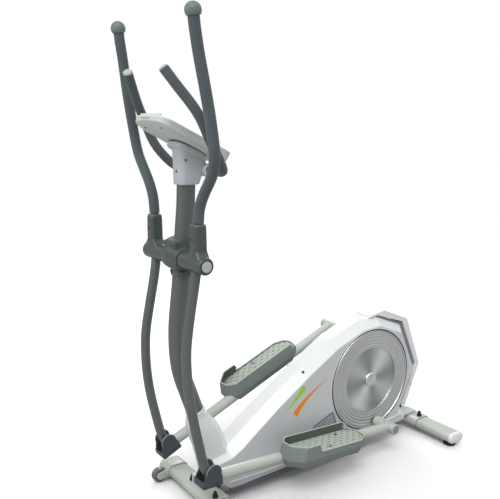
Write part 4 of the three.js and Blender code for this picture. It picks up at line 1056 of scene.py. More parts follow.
def make_panel_trims():
    panel = rounded(inset(CASE_OUTLINE, CASE_CHAMFER + 3.5), 0, steps=5)
    for word, side in SIDES.items():
        # the grey skin that fills the side panel, round the crank disc's window: painted shade, a darker
        # copy of the white shell's plastic on its shaded side face
        skin = raw_object(f"casing_panel_shade_{word}",
                          on_side(prism(panel, PANEL_Y + 0.05, PANEL_Y + 0.55), side))
        window = moved(lathe([(0, 40), (DISC_R + 10, 40), (DISC_R + 10, 90), (0, 90)], 96),
                       along_y(CRANK_X, CRANK_Z, side))
        cut(skin, window)
        settle(skin, "frame", PANEL_SHADE, sharp=20)
        rim = [(4.8, 66), (4.8, 69.6), (5.6, 70.4), (7.2, 70.2), (8.6, 68.8), (10.4, 68.5), (10.4, 66),
               (4.8, 66)]
        # painted shade: a black ring at the floor of the gap round the disc stands for the shaded inside of
        # the casing
        gap_shade = [(0.6, 66), (0.6, 68.4), (5, 68.8), (5, 66), (0.6, 66)]
        # the window rim takes the panel's painted shade
        for name, profile, slot, material in (("window_rim", rim, "cool_grey", PANEL_SHADE),
                                              ("disc_gap_shade", gap_shade, "black_plastic", BLACK)):
            ring = moved(lathe([(DISC_R + r, h) for r, h in profile], 128), along_y(CRANK_X, CRANK_Z, side))
            piece(f"{name}_{word}", ring, "frame", material, sharp=30)
        # low skirt: a white lip above a dark band that runs along the casing's foot
        band = [(-300, 49), (-120, 45), (200, 57), (560, 78), (572, 66), (560, 66), (200, 44), (-40, 33),
                (-296, 30)]
        piece(f"skirt_band_{word}", on_side(prism(band, PANEL_Y - 6, PANEL_Y + 0.9), side), "frame",
              GROOVE, bevel=0.8)
        lip = ribbon(curve2([(-302, 72), (-120, 68), (60, 72), (250, 84), (470, 100), (556, 112)], 30),
                     [7] * 31)
        piece(f"skirt_lip_{word}", on_side(prism(lip, PANEL_Y - 1, PANEL_Y + 2.4), side), "frame",
              WHITE, bevel=1.0)
        screw(f"bevel_screw_{word}", (39.5, side * 46.8, 394), (-0.41, side * 0.63, 0.66), 5, "frame")


def make_vent(side, word):
    """Triangular air grille: a raised border round a recess crossed by a lattice of thin bars, with a dark
    plate of painted shade behind them.
    """
    corners = [(58, 172), (167, 207), (182, 164)]
    outer = rounded(inset(corners, -7), 7, steps=4)
    hole = rounded(corners, 3, steps=4)
    y = PANEL_Y
    border = raw_object(f"vent_border_{word}", on_side(prism(outer, y - 1, y + 2.6), side))
    cut(border, on_side(prism(hole, y - 3, y + 6), side))
    bevelled(border, 0.9, 2)
    settle(border, "frame", GROOVE_LIGHT, weighted=True)
    # painted shade: a dark plate stands for the shade inside the casing behind the grille
    painted_shade_plate = on_side(prism(rounded(inset(corners, -2), 4), y + 0.4, y + 0.9), side)
    piece(f"vent_back_shade_{word}", painted_shade_plate, "frame", DARK)
    bars = []
    for k in range(-14, 26):
        for lean in (1, -1):
            x = 58 + k * 8
            bars.append(on_side(prism([(x, 150), (x + 2.6, 150), (x + 2.6 + lean * 52, 222),
                                       (x + lean * 52, 222)],
                                      y + 0.6, y + (1.5 if lean > 0 else 1.9)), side))
    lattice = raw_object(f"vent_lattice_{word}", merged(*bars))
    keep = on_side(prism(hole, y - 3, y + 6), side)
    boolean(lattice, raw_object("tool", keep), "INTERSECT", True)
    # the lattice takes the panel's painted shade
    settle(lattice, "frame", PANEL_SHADE, sharp=30)


def make_accents(side, word):
    """Two plain tapered strokes on the side panel."""
    strokes = [
        ("orange", ACCENT_ORANGE, [(-14, 246), (6, 270), (48, 303), (92, 330), (140, 353)],
         [25, 21, 13, 8, 4.5, 0.4]),
        ("green", ACCENT_GREEN, [(-77, 259), (-44, 280), (-14, 304), (12, 328), (30, 346)],
         [0.4, 2.5, 6, 12, 18, 22]),
    ]
    for colour, material, line, widths in strokes:
        route = curve2(line, 24)
        spans = len(widths) - 1
        w = []
        for i in range(len(route)):
            t = i / (len(route) - 1) * spans
            k = min(spans - 1, int(t))
            w.append(lerp(widths[k], widths[k + 1], t - k))
        mesh = on_side(prism(ribbon(route, w), PANEL_Y + 0.3, PANEL_Y + 0.95), side)
        piece(f"accent_{colour}_{word}", mesh, "frame", material, sharp=30)


CAP_OUTLINE = [
    (377, 538, 2), (390, 550, 6), (463, 560, 10), (597, 504, 12), (680, 294, 12), (601, 118, 6),
    (583, 134, 3), (658, 296, 10), (571, 494, 10), (428, 544, 6),
]


def make_rear_cap():
    """Wide faceted band over the casing's rear edge, and the lavender strip in the groove inside it."""
    cap = raw_object("rear_cap_band", prism(rounded(CAP_OUTLINE), -40, 40))
    bevelled(cap, 3.2, 3, 50)
    settle(cap, "frame", WHITE, ["shroud_rear_cap"], 30, True)
    groove = [(425, 538), (430, 546), (566, 490), (652, 296), (578, 138), (570, 136), (640, 296),
              (554, 482), (421, 536)]
    piece("rear_groove_strip", prism(rounded(groove, 5), -33, 33), "frame", GROOVE_LIGHT,
          bevel=1.2)
    for word, side in SIDES.items():
        screw(f"cap_screw_{word}", (628, side * 40.4, 210), (0, side, 0), 4.4, "frame")


# ---------------------------------------------------------------- crank
def make_disc(side, word):
    """Stepped crank cover: raised rings round a spun centre with a pale boss."""
    place = ROW @ along_y(CRANK_X, CRANK_Z, side)
    profile = [(0, 64.6), (198, 64.6), (DISC_R, 65.4), (DISC_R, 69.4), (199, 70.6), (196.4, 70.9),
               (194.6, 70.4)]
    for k in range(33):  # four and a half ripples
        profile.append((193 - 1.6 * k, 69.0 - 1.25 * math.cos(k / 33 * 9 * math.pi)))
    profile += [(137.6, 69.4), (135, 70.2), (133.2, 71.2), (131.4, 71), (130.6, 69.2), (130.4, 66.8),
                (0, 66.8)]
    turned_piece(f"crank_disc_{word}_rim", profile, 144, place, "crank", RIM_SILVER,
                 [f"crank_disc_{word}"], 18)
    centre = [(0, 66.9), (130.2, 66.9), (130.2, 67.3), (129.4, 67.6), (32, 67.2), (30, 66.95), (0, 66.95)]
    turned_piece(f"crank_disc_{word}_centre", centre, 144, place, "crank", BRUSHED_PAINTED_FANS, sharp=30)
    dome = [(0, 67), (28.6, 67), (29, 68.6), (28, 71), (24.6, 73.4), (18, 75.4), (9, 76.6), (0, 77)]
    turned_piece(f"crank_disc_{word}_boss", dome, 64, place, "crank", TURNED, sharp=40)


def finish_hidden_nodes():
    """Drive pieces inside the casing keep their CAD shape and get their own finishes."""
    looks = {
        "crank_shaft": STEEL, "drive_pulley": BLACK, "flywheel": IRON, "idler_roller": BLACK,
        "drive_belt": BELT,
    }
    for node, material in looks.items():
        obj = frame["nodes"][node]
        obj.data.materials.clear()
        obj.data.materials.append(material)
        for polygon in obj.data.polygons:
            polygon.use_smooth = True
        obj.data.set_sharp_from_angle(angle=math.radians(30))


# ---------------------------------------------------------------- pedal arms
FORK_Y = 30


def make_pedal_arm(side, word):
    body = f"pedal_arm_{word}"
    place = arm_frame(side)
    tube = sweep([Vector((x, side * ARM_Y, 0)) for x in (30, 38, 200, 400, 600, ARM_LENGTH)], 19, 40)
    arm = raw_object(f"pedal_arm_{word}_bar", tube, place)
    turned = Matrix.Translation((ARM_LENGTH, 0, 0)) @ Matrix.Rotation(-side * math.pi / 2, 4, "X")
    hub = moved(lathe([(0, 74.8), (19.6, 74.8), (21, 76.2), (21, 176.6), (19.6, 178), (0, 178)], 48),
                turned)
    fuse(arm, hub, matrix=place)
    bevelled(arm, 1.6, 3, 50)
    settle(arm, body, FRAME_PAINT, [f"pedal_arm_{word}"], 40, True)
    cap = moved(lathe([(0, 178.2), (19.4, 178.2), (21, 179), (21, 180.8), (19.6, 182), (16.4, 182.2),
                       (15.8, 181.4),
                       (0, 181.4)], 48), turned)
    piece(f"crank_pin_{word}_cap", cap, body, PLUG, [f"crank_pin_{word}"], matrix=place, sharp=30)
    badge = moved(lathe([(0, 181), (14.8, 181), (14.8, 181.9), (13.6, 182.3), (0, 182.4)], 40), turned)
    piece(f"crank_pin_{word}_badge", badge, body, SLATE_LIGHT, matrix=place, sharp=30)
    shank = moved(lathe([(0, 73.9), (12, 73.9), (12, 90), (0, 90)], 32), turned)
    piece(f"crank_pin_{word}_shank", shank, body, STEEL, matrix=place, sharp=30)


def make_fork_cover(side, word):
    """Moulded cover round the link: two domed cheeks with a slot between them for the swing tube."""
    body = f"pedal_arm_{word}"
    place = arm_frame(side)
    arc = [(-2 + 28 * math.cos(a), 25 + 28 * math.sin(a)) for a in (math.pi * k / 18 for k in range(19))]
    outline = rounded([(-44, 0, 6), (-46, -24, 8), (34, -21, 5), (28, 18, 4)], steps=4) + arc
    levels = ((-FORK_Y, 3.0), (-FORK_Y + 0.7, 1.2), (-FORK_Y + 2.6, 0.0), (FORK_Y - 2.6, 0.0),
              (FORK_Y - 0.7, 1.2),
              (FORK_Y, 3.0))
    middle = Vector((-6, 8))
    rings = [
        [((p[0] - middle.x) * (1 - m / 34) + middle.x, side * ARM_Y + y,
          (p[1] - middle.y) * (1 - m / 34) + middle.y)
         for p in outline] for y, m in levels
    ]
    cover = raw_object(f"fork_cover_{word}_shell", loft(rings), place)
    mid = side * ARM_Y
    curve = [(-60, 60), (-60, 16), (-40, 9), (-8, 3), (22, 10), (34, 24), (34, 60)]
    slot = prism(rounded(curve, 12), mid - 21, mid + 21)
    hollow = prism(rounded([(-42, -19), (26, -17), (24, 16), (-40, 14)], 4), mid - 26, mid + 26)
    cut(cover, slot, hollow, matrix=place)
    bevelled(cover, 1.0, 2, 45)
    settle(cover, body, SLATE, [f"fork_cover_{word}"], 38, True)
    for tag, s in (("inner", -1), ("outer", 1)):
        rim = []
        for k in range(25):
            a = math.pi * lerp(-0.04, 1.02, k / 24)
            rim.append((-2 + 27.2 * math.cos(a), 25 + 27.2 * math.sin(a)))
        line = [Vector((x, mid + s * 25.5, z)) for x, z in rim]
        piece(f"fork_rim_{word}_{tag}", sweep(line, 2.1, 12), body, SLATE_LIGHT,
              matrix=place,
              sharp=60)
        screw(f"fork_screw_{word}_{tag}", (8, mid + s * (FORK_Y + 0.3), -12), (0, s, 0), 3.6, body, place)


# ---------------------------------------------------------------- pedals
PEDAL = {"from": 282, "to": 640, "inner": 114, "outer": 234, "deck": 26, "top": 57, "low": 30, "skirt": -20,
         "step": 408, "waist": 9, "lean": 2, "front_lean": 10}


def pedal_outline(grow, z):
    """Plan outline of the right tray at a height: faceted in front, rounded behind, its walls leaning in."""
    share = min(1.0, max(0.0, (z - PEDAL["waist"]) / (PEDAL["top"] - PEDAL["waist"])))
    grow -= PEDAL["lean"] * share
    a = PEDAL["from"] - grow + PEDAL["front_lean"] * share
    b, inner, outer = PEDAL["to"] + grow, PEDAL["inner"] - grow, PEDAL["outer"] + grow
    return [
        (a + 26, inner, 6), (b - 42, inner, 18), (b - 8, inner + 18, 24), (b, (inner + outer) / 2, 60),
        (b - 8, outer - 24, 30), (b - 44, outer, 22), (a + 44, outer, 6), (a, outer - 40, 5),
        (a, inner + 26, 5),
    ]


def pedal_ring(grow, z):
    return [(p.x, p.y, z) for p in rounded(pedal_outline(grow, z), steps=5)]


def make_pedal(side, word):
    body = f"pedal_arm_{word}"
    place = arm_frame(side)
    deck, top, low, skirt, step = (PEDAL[k] for k in ("deck", "top", "low", "skirt", "step"))
    rings = [pedal_ring(g, z) for g, z in (
        (-13, skirt), (-11, skirt), (-9.8, skirt + 1.2), (-1.6, 5), (-0.5, 6.6), (0, 9), (0, top - 6),
        (-0.4, top - 3),
        (-1.2, top - 1),
    )]
    shell = raw_object(f"pedal_{word}_body", on_side(loft(rings), side), place)
    tray = on_side(loft([pedal_ring(-4, z) for z in (deck - 2, top + 4)]), side)
    inner_face = PEDAL["inner"] + 5
    lowered = on_side(plate([(step, inner_face), (700, inner_face), (700, 260), (step - 16, 260)], low,
                            top + 8), side)
    rear = on_side(prism([(590, top + 8), (604, top - 3), (626, low), (720, low), (720, top + 8)], 60, 260),
                   side)
    tube = sweep([Vector((x, side * ARM_Y, 0)) for x in (200, 450, 700)], 19.6, 32)
    opening = on_side(box(200, 700, ARM_Y - 19.4, ARM_Y + 19.4, skirt - 6, 0), side)
    under = on_side(loft([pedal_ring(-15, z) for z in (skirt - 4, 8)]), side)
    cut(shell, tray, lowered, rear, tube, opening, under, matrix=place)
    bevelled(shell, 0.9, 2, 40)
    settle(shell, body, PEDAL_BODY, [f"pedal_{word}"], 30, True)

    # dark liner on the inside of the high walls
    liner_out = on_side(loft([pedal_ring(-3.9, z) for z in (deck, top - 2.2)]), side)
    liner = raw_object(f"pedal_{word}_liner", liner_out, place)
    cut(liner, on_side(loft([pedal_ring(-5.4, z) for z in (deck - 4, top + 4)]), side),
        on_side(plate([(step - 3, inner_face + 1.5), (700, inner_face + 1.5), (700, 260), (step - 19, 260)],
                      low - 8,
                      top + 8), side),
        on_side(prism([(586, top + 8), (600, top - 3), (622, low), (622, 0), (720, 0), (720, top + 8)], 60,
                      260), side),
        matrix=place)
    settle(liner, body, PEDAL_WALL, sharp=30)
    make_pedal_rim(side, word, place, body)
    make_tread(side, word, place, body)


def make_pedal_rim(side, word, place, body):
    """Pale bead along the tray's top edge, which steps down at the outer side and behind."""
    top, low, step = PEDAL["top"] + 0.2, PEDAL["low"] + 0.6, PEDAL["step"]
    high_line, low_line = (rounded(pedal_outline(-2.2, z), steps=5) for z in (top, low))
    points = []
    for i, (p, q) in enumerate(zip(high_line, low_line)):
        following = (i + 1) % len(high_line)
        p_next, q_next = high_line[following], low_line[following]
        parts = max(1, round((p_next - p).length / 4))
        for k in range(parts):
            here, under = p.lerp(p_next, k / parts), q.lerp(q_next, k / parts)
            on_outer = here.y > PEDAL["inner"] + 14
            share = smooth_step(step + 2, step - 18, here.x) if on_outer else smooth_step(630, 592, here.x)
            spot = under.lerp(here, share)
            points.append(Vector((spot.x, side * spot.y, lerp(low, top, share))))
    rings = []
    for i, here in enumerate(points):
        along = (points[(i + 1) % len(points)] - points[i - 1]).normalized()
        across = along.cross(Vector((0, 0, 1))).normalized()
        up = across.cross(along)
        rings.append([here + across * 2.3 * math.cos(a) + up * 1.7 * math.sin(a)
                      for a in (2 * math.pi * k / 10 for k in range(10))])
    piece(f"pedal_{word}_rim", loft([*rings, rings[0]], False), body, PEDAL_RIM,
          matrix=place, sharp=60)


def smooth_step(low, high, x):
    t = min(1.0, max(0.0, (x - low) / (high - low)))
    return t * t * (3 - 2 * t)


SCALE_W = 31  # spacing of the tread's scales along the pedal
SCALE_P = 16  # spacing of their rows
SCALE_R = 19  # radius of a scale's round edge
SCALE_H = 3.0  # height of a scale at its edge


def scale_height(u, y):
    """Fish-scale relief: overlapping round tiles whose edges face the user's left."""
    first = math.ceil(y / SCALE_P)
    for k in range(first + 1, first - 2, -1):
        centre = k * SCALE_P
        shift = 0.5 * SCALE_W * (k % 2)
        du = (u - shift + SCALE_W / 2) % SCALE_W - SCALE_W / 2
        dy = centre - y
        if dy >= 0 and du * du + dy * dy < SCALE_R * SCALE_R:
            reach = math.sqrt(SCALE_R * SCALE_R - du * du)
            lift = dy / reach
            edge = min(1.0, (reach - dy) / 1.6)
            return SCALE_H * (0.3 + 0.7 * lift) * edge
    return 0.0


def make_tread(side, word, place, body):
    """Pale tread plate with overlapping scales and dark bolts."""
    spacing = 1.5
    a, b = PEDAL["from"] + 5, PEDAL["to"] - 4
    inner, outer = PEDAL["inner"] + 5, PEDAL["outer"] - 4
    base = PEDAL["deck"] - 1.2
    columns, rows = round((b - a) / spacing), round((outer - inner) / spacing)
    verts, faces, index = [], [], {}
    border = rounded(pedal_outline(-4.6, PEDAL["deck"]), steps=5)
    limits = {}
    for i in range(columns + 1):
        u = lerp(a, b, i / columns)
        crossings = []
        for p, q in zip(border, [*border[1:], border[0]]):
            if (p.x - u) * (q.x - u) < 0:
                crossings.append(lerp(p.y, q.y, (u - p.x) / (q.x - p.x)))
        limits[i] = (min(crossings), max(crossings)) if crossings else None
    for i in range(columns + 1):
        if limits[i] is None:
            continue
        u = lerp(a, b, i / columns)
        low, high = limits[i]
        for j in range(rows + 1):
            y = lerp(low, high, j / rows)
            near = min(y - low, high - y, u - a, b - u)
            z = base + scale_height(u, side * y) * min(1.0, near / 4)
            index[i, j] = len(verts)
            verts.append(Vector((u, side * y, z + 1.4)))
    for i in range(columns):
        for j in range(rows):
            corners = [(i, j), (i + 1, j), (i + 1, j + 1), (i, j + 1)]
            if all(c in index for c in corners):
                faces.append([index[c] for c in corners])
    # drawn about its own origin, so that the material can paint shade into the creases and a highlight onto
    # the crests by height
    tread = raw_object(f"pedal_{word}_tread", closed_below((verts, faces), 2.2), OWN)
    tread.matrix_world = unit(place)
    settle(tread, body, TREAD_PAINTED_SHADE, sharp=28)
    for i, (u, v) in enumerate(((462, 208), (330, 158), (545, 140))):
        screw(f"tread_bolt_{word}_{i + 1}", (u, side * v, PEDAL["deck"] + 3.2), (0, 0, 1), 6.0, body, place)


def closed_below(mesh, depth):
    """Gives an open sheet a flat underside and side walls."""
    verts, faces = [Vector(v) for v in mesh[0]], [tuple(f) for f in mesh[1]]
    count = len(verts)
    floor = min(v.z for v in verts) - depth
    edges = [edge for f in faces for edge in zip(f, f[1:] + f[:1])]
    known = set(edges)
    rim = [(p, q) for p, q in edges if (q, p) not in known]
    below = {p: count + k for k, p in enumerate(sorted({p for pair in rim for p in pair}))}
    verts += [Vector((verts[p].x, verts[p].y, floor)) for p in sorted(below)]
    faces += [(q, p, below[p], below[q]) for p, q in rim]
    follow = dict(rim)
    start = rim[0][0]
    loop, here = [start], follow[start]
    while here != start:
        loop.append(here)
        here = follow[here]
    faces.append(tuple(below[p] for p in loop))
    return verts, faces


# ---------------------------------------------------------------- floor frame
FRONT_FOOT = {"x": -374.5, "z": 37.8, "w": 80, "h": 40, "half": 224}
REAR_FOOT = {"x": REAR_FOOT_X, "z": 38.1, "w": 76, "h": 38, "half": 245}
CLAMPS = {
    "front_left": (-386, -107, 62.8), "front_right": (-390, 38, 62.8),
    "rear_left": (674.5, -58, 62.1), "rear_right": (674.5, 58, 62.1),
}


def foot_oval(foot, grow):
    w, h = foot["w"] + 2 * grow, foot["h"] + 2 * grow
    return oval(foot["x"], foot["z"], w, h, h / 2, 10)


def foot_loft(foot, levels):
    """A bar along Y with a stabiliser's section, from (y, growth) levels."""
    return loft([[(p.x, y, p.y) for p in foot_oval(foot, g)] for y, g in levels])


def make_stabiliser(name, foot):
    levels = ((-foot["half"], -0.8), (-foot["half"] + 0.8, 0), (foot["half"] - 0.8, 0),
              (foot["half"], -0.8))
    piece(f"{name}_tube", foot_loft(foot, levels), "frame", FRAME_PAINT, [name], sharp=50)


def saddle(foot, y0, y1):
    """The clamp plate that a stabiliser hangs in, with rolled edges and a dark seam at each end."""
    shell = foot_loft(foot, ((y0, 3.4), (y0 + 1.6, 5), (y1 - 1.6, 5), (y1, 3.4)))
    hug = foot_loft(foot, ((y0 - 3, 0.4), (y1 + 3, 0.4)))
    return shell, hug, box(foot["x"] - 90, foot["x"] + 90, y0 - 5, y1 + 5, 0, foot["z"] - 2)


def make_main_frame():
    spine = loft([[(x, y, z) for y, z in oval(0, 79.3, 50, 34.6, 5, 4)] for x in (-398.5, 585)])
    tail = loft([[(x, y, z) for y, z in oval(0, 67, 50, 10.8, 3, 4)] for x in (584, REAR_FOOT_X + 14)])
    body = raw_object("main_frame_spine", spine)
    fuse(body, tail)
    hug_front, hug_rear = (foot_loft(foot, ((-60, 0.4), (60, 0.4))) for foot in (FRONT_FOOT, REAR_FOOT))
    cut(body, hug_front, hug_rear, sweep(POST_ROUTE, POST_R + 0.8, 24))
    settle(body, "frame", FRAME_PAINT, ["main_frame"], 35, True)
    for word, foot, y0, y1 in (("front", FRONT_FOOT, -124, 56), ("rear", REAR_FOOT, -74, 74)):
        shell, hug, below = saddle(foot, y0, y1)
        clamp = raw_object(f"saddle_{word}", shell)
        cut(clamp, hug, below)
        settle(clamp, "frame", FRAME_PAINT, sharp=40)
        for i, y in enumerate((y0 - 0.7, y1 - 0.7)):
            ring = raw_object(f"saddle_seam_{word}_{i + 1}", foot_loft(foot, ((y, 1.4), (y + 1.4, 1.4))))
            cut(ring, foot_loft(foot, ((y - 3, 0.2), (y + 5, 0.2))))
            settle(ring, "frame", DARK, sharp=40)
    tower = prism([(CRANK_X - 70, 92), (CRANK_X + 60, 92), (CRANK_X + 26, CRANK_Z),
                   (CRANK_X - 26, CRANK_Z)], -16, 4)
    bearing = moved(lathe([(14.6, -34), (25, -34), (27, -32), (27, 9), (25, 11), (14.6, 11), (14.6, -34)],
                          40),
                    along_y(CRANK_X, CRANK_Z))
    stand = raw_object("crank_tower", tower)
    cut(stand, moved(lathe([(0, -80), (26, -80), (26, 80), (0, 80)], 40), along_y(CRANK_X, CRANK_Z)))
    settle(stand, "frame", FRAME_PAINT)
    piece("crank_bearing", bearing, "frame", STEEL, sharp=30)


def fluted(levels, x, y, base, sides, flutes):
    """A round solid with flutes down its side, from (height, radius, flute depth) levels."""
    rings = []
    for h, r, depth in levels:
        ring = []
        for k in range(sides):
            a = 2 * math.pi * k / sides
            rr = r - depth * (0.5 + 0.5 * math.cos(flutes * a))
            ring.append((x + rr * math.cos(a), y + rr * math.sin(a), base + h))
        rings.append(ring)
    return loft(rings)


def make_clamp_knob(name, x, y, seat):
    """Fluted black knob with a domed top."""
    levels = ((0.4, 9.6, 0), (1.4, 10.5, 0.2), (5, 10.4, 0.5), (9, 9.2, 0.7), (13, 7.6, 0.7),
              (18, 6.2, 0.5),
              (20.6, 5.4, 0.2), (22, 3.2, 0))
    knob = fluted(levels, x, y, seat, 48, 8)
    piece(f"{name}_grip", knob, "frame", BLACK, [name], sharp=50)


def make_front_end_cap(side, word):
    foot = FRONT_FOOT
    y1 = foot["half"] + 14
    levels = ((172, 2.6), (173.4, 4), (y1 - 5, 4), (y1 - 1.6, 2.4), (y1, -1.4))
    shell = raw_object(f"front_end_cap_{word}_shell", on_side(foot_loft(foot, levels), side))
    hollow = on_side(foot_loft(foot, ((160, 0.4), (foot["half"] + 0.4, 0.4))), side)
    pad = on_side(loft([[(x, y, z) for x, y in oval(foot["x"] + 2, 213, 48 - 2 * m, 34 - 2 * m, 6, 4)]
                        for z, m in ((0, 1.4), (1.4, 0), (18, 0))]), side)
    fuse(shell, pad)
    for y in (178.5, 209.5):
        arc = [(WHEEL_X + 13 * math.cos(a), WHEEL_Z + 13 * math.sin(a))
               for a in (math.pi * (0.5 + k / 16) for k in range(17))]
        fuse(shell, on_side(prism([(-392, 20), (-392, 52), *arc], y, y + 6), side))
    wheel_room = moved(lathe([(0, 184.5), (28.5, 184.5), (28.5, 209.5), (0, 209.5)], 40),
                       along_y(WHEEL_X, WHEEL_Z, side))
    cut(shell, hollow, wheel_room)
    bevelled(shell, 0.8, 2, 50)
    settle(shell, "frame", FRAME_PAINT, [f"front_end_cap_{word}"], 40, True)


def make_transport_wheel(side, word):
    """Grey wheel: a rounded tyre with six groups of notches, and a hub with six spokes."""
    place = ROW @ along_y(WHEEL_X, WHEEL_Z, side, 197)
    profile = [(0, -8), (15, -8), (16.5, -10.4), (22.6, -11), (24.6, -9.6), (25.4, -6), (25.4, 6),
               (24.6, 9.6),
               (22.6, 11), (16.5, 10.4), (15, 8), (0, 8)]
    tyre = raw_object(f"transport_wheel_{word}_tyre", lathe(profile, 72), OWN)
    notch = box(24.4, 27, -1.1, 1.1, -14, 14)
    for k in range(0, 18, 3):
        a = 2 * math.pi * k / 18
        wedge = merged(*[moved(notch, Matrix.Rotation(a + 2 * math.pi * j / 54, 4, "Z")) for j in range(3)])
        cut(tyre, wedge, matrix=OWN)
    tyre.matrix_world = unit(place)
    settle(tyre, f"transport_wheel_{word}", WHEEL, [f"transport_wheel_{word}"], 30)
    hub = lathe([(0, -19.6), (3.2, -19.6), (4, -18.8), (4, -11.2), (7, -10.6), (7, 10.6), (4, 11.2),
                 (4, 18.8),
                 (3.2, 19.6), (0, 19.6)], 32)
    spokes = [moved(box(5, 16, -1.4, 1.4, -9.6, 9.6),
                    Matrix.Rotation(math.pi * k / 3, 4, "Z")) for k in range(6)]
    core = raw_object(f"transport_wheel_{word}_hub", hub, OWN)
    fuse(core, *spokes, matrix=OWN)
    core.matrix_world = unit(place)
    settle(core, f"transport_wheel_{word}", PLUG, sharp=30)


def make_rear_end_cap(side, word):
    levels = ((244.6, 0.6), (245.4, 1.4), (253, 1.4), (256.6, 0.2), (258.6, -1.8), (259.5, -4.8))
    piece(f"rear_end_cap_{word}_shell", on_side(foot_loft(REAR_FOOT, levels), side), "frame",
          WHITE,
          [f"rear_end_cap_{word}"], sharp=40)


def make_levelling_foot(side, word):
    """Ribbed black foot on a threaded stud."""
    levels = ((0, 22, 0), (0.8, 24, 0.2), (3, 24.8, 0.7), (8, 24.8, 0.9), (10.5, 22.6, 0.6), (13, 17, 0.2),
              (14.6, 8, 0), (15, 4, 0))
    pad = fluted(levels, REAR_FOOT_X, side * 222, 0, 96, 24)
    piece(f"leveling_foot_{word}_pad", pad, f"leveling_foot_{word}", BLACK,
          [f"leveling_foot_{word}"], sharp=45)
    stud = [(0, 14)]
    for k in range(8):
        stud += [(4.0, 14 + 2 * k), (3.3, 15 + 2 * k)]
    stud.append((0, 30))
    mesh = moved(lathe(stud, 24), Matrix.Translation((REAR_FOOT_X, side * 222, 0)))
    piece(f"leveling_foot_{word}_stud", mesh, f"leveling_foot_{word}", STEEL, sharp=60)


# ---------------------------------------------------------------- stage
FLOOR_HALF = 30  # metres
FLOOR_BOUNCE, FLOOR_SEEN = 0.42, 0.97  # its white for the light it returns, and for the camera
SKY_LOW, SKY_HIGH = 0.28, 0.95  # strength at the horizon and overhead
SUN_AT, SUN_AIM, SUN_ENERGY, SUN_SPREAD = (-1.5, -1.6, 3.2), (0, 0, 0.5), 1.3, math.radians(30)
LAMPS = (  # name, place, aim, size in metres, watts
    ("back", (1.8, 2.8, 2.6), (0, 0, 0.6), 1.6, 34),
    ("left", (-3.2, 0.4, 1.8), (-0.3, 0, 0.8), 1.0, 12),
)


def make_stage():
    """White floor, studio sky, a soft sun and two area lamps."""
    half = FLOOR_HALF
    floor = bpy.data.meshes.new("floor")
    floor.from_pydata([(-half, -half, 0), (half, -half, 0), (half, half, 0), (-half, half, 0)], [],
                      [(0, 1, 2, 3)])
    ground = bpy.data.objects.new("floor", floor)
    bpy.context.scene.collection.objects.link(ground)
    floor.materials.append(floor_surface())
    make_sky()
    bpy.context.scene.view_settings.view_transform = "Standard"
    sun = bpy.data.lights.new("key", "SUN")
    sun.energy = SUN_ENERGY
    sun.angle = SUN_SPREAD
    add_lamp("key", sun, SUN_AT, SUN_AIM)
    for name, spot, aim, size, power in LAMPS:
        area = bpy.data.lights.new(name, "AREA")
        area.size = size
        area.energy = power
        add_lamp(name, area, spot, aim)


def add_lamp(name, light, spot, aim):
    lamp = bpy.data.objects.new(name, light)
    lamp.location = spot
    lamp.rotation_mode = "QUATERNION"
    lamp.rotation_quaternion = (Vector(aim) - Vector(spot)).to_track_quat("-Z", "Y")
    bpy.context.scene.collection.objects.link(lamp)


def floor_surface():
    """A white floor that throws only part of its light back on the object."""
    n = Nodes("floor_white")
    seen = n.add("ShaderNodeLightPath").outputs["Is Camera Ray"]
    n.link(n.blend(seen, (FLOOR_BOUNCE,) * 3, (FLOOR_SEEN,) * 3), n.shader.inputs["Base Color"])
    n.set(Roughness=1.0, Specular_IOR_Level=0.0)
    return n.material


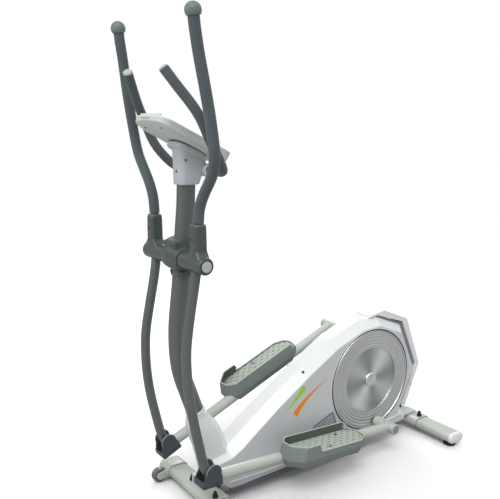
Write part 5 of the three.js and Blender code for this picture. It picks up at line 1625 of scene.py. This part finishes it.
def make_sky():
    """Studio light that is brightest overhead, behind a plain white backdrop."""
    world = bpy.data.worlds.new("studio")
    world.use_nodes = True
    tree = world.node_tree
    back = tree.nodes["Background"]
    back.inputs["Color"].default_value = (1, 1, 1, 1)
    place = tree.nodes.new("ShaderNodeTexCoord")
    split = tree.nodes.new("ShaderNodeSeparateXYZ")
    height = tree.nodes.new("ShaderNodeMapRange")
    height.inputs["To Min"].default_value = SKY_LOW
    height.inputs["To Max"].default_value = SKY_HIGH
    seen = tree.nodes.new("ShaderNodeLightPath")
    choose = tree.nodes.new("ShaderNodeMix")
    choose.inputs[3].default_value = 1.0
    tree.links.new(place.outputs["Generated"], split.inputs[0])
    tree.links.new(split.outputs[2], height.inputs["Value"])
    tree.links.new(seen.outputs["Is Camera Ray"], choose.inputs[0])
    tree.links.new(height.outputs[0], choose.inputs[2])
    tree.links.new(choose.outputs[0], back.inputs["Strength"])
    bpy.context.scene.world = world


CAMERA_AT = (-1517.8, -1939.1, 1315.0)  # layout millimetres
CAMERA_LENS = 50.15
CAMERA_SHIFT = -0.004
CAMERA_TURN = (-35.0753, 10.65, -0.20)  # yaw, pitch below level and roll, in degrees


def make_camera():
    """The camera at the photograph's angle."""
    data = bpy.data.cameras.new("camera")
    data.sensor_width = 36
    data.lens = CAMERA_LENS
    data.shift_x = CAMERA_SHIFT
    camera = bpy.data.objects.new("camera", data)
    camera.location = row(CAMERA_AT)
    yaw, pitch, roll = (math.radians(angle) for angle in CAMERA_TURN)
    turn = Matrix.Rotation(yaw, 4, "Z") @ Matrix.Rotation(math.pi / 2 - pitch, 4,
                                                          "X") @ Matrix.Rotation(roll, 4, "Z")
    camera.rotation_mode = "QUATERNION"
    camera.rotation_quaternion = turn.to_quaternion()
    bpy.context.scene.collection.objects.link(camera)
    bpy.context.scene.camera = camera


# ---------------------------------------------------------------- assembly
make_camera()
make_stage()
make_post()
make_boot()
make_pivot_housing()
make_fixed_bar()
make_head()
make_console()
make_casing()
make_panel_trims()
make_rear_cap()
finish_hidden_nodes()
make_main_frame()
make_stabiliser("front_stabilizer", FRONT_FOOT)
make_stabiliser("rear_stabilizer", REAR_FOOT)
for clamp_name, (clamp_x, clamp_y, clamp_seat) in CLAMPS.items():
    make_clamp_knob(f"clamp_knob_{clamp_name}", clamp_x, clamp_y, clamp_seat)
for side_word, side_sign in SIDES.items():
    make_hub_cover(side_sign, side_word)
    make_swing_arm(side_sign, side_word)
    make_vent(side_sign, side_word)
    make_accents(side_sign, side_word)
    make_disc(side_sign, side_word)
    make_pedal_arm(side_sign, side_word)
    make_fork_cover(side_sign, side_word)
    make_pedal(side_sign, side_word)
    make_front_end_cap(side_sign, side_word)
    make_transport_wheel(side_sign, side_word)
    make_rear_end_cap(side_sign, side_word)
    make_levelling_foot(side_sign, side_word)
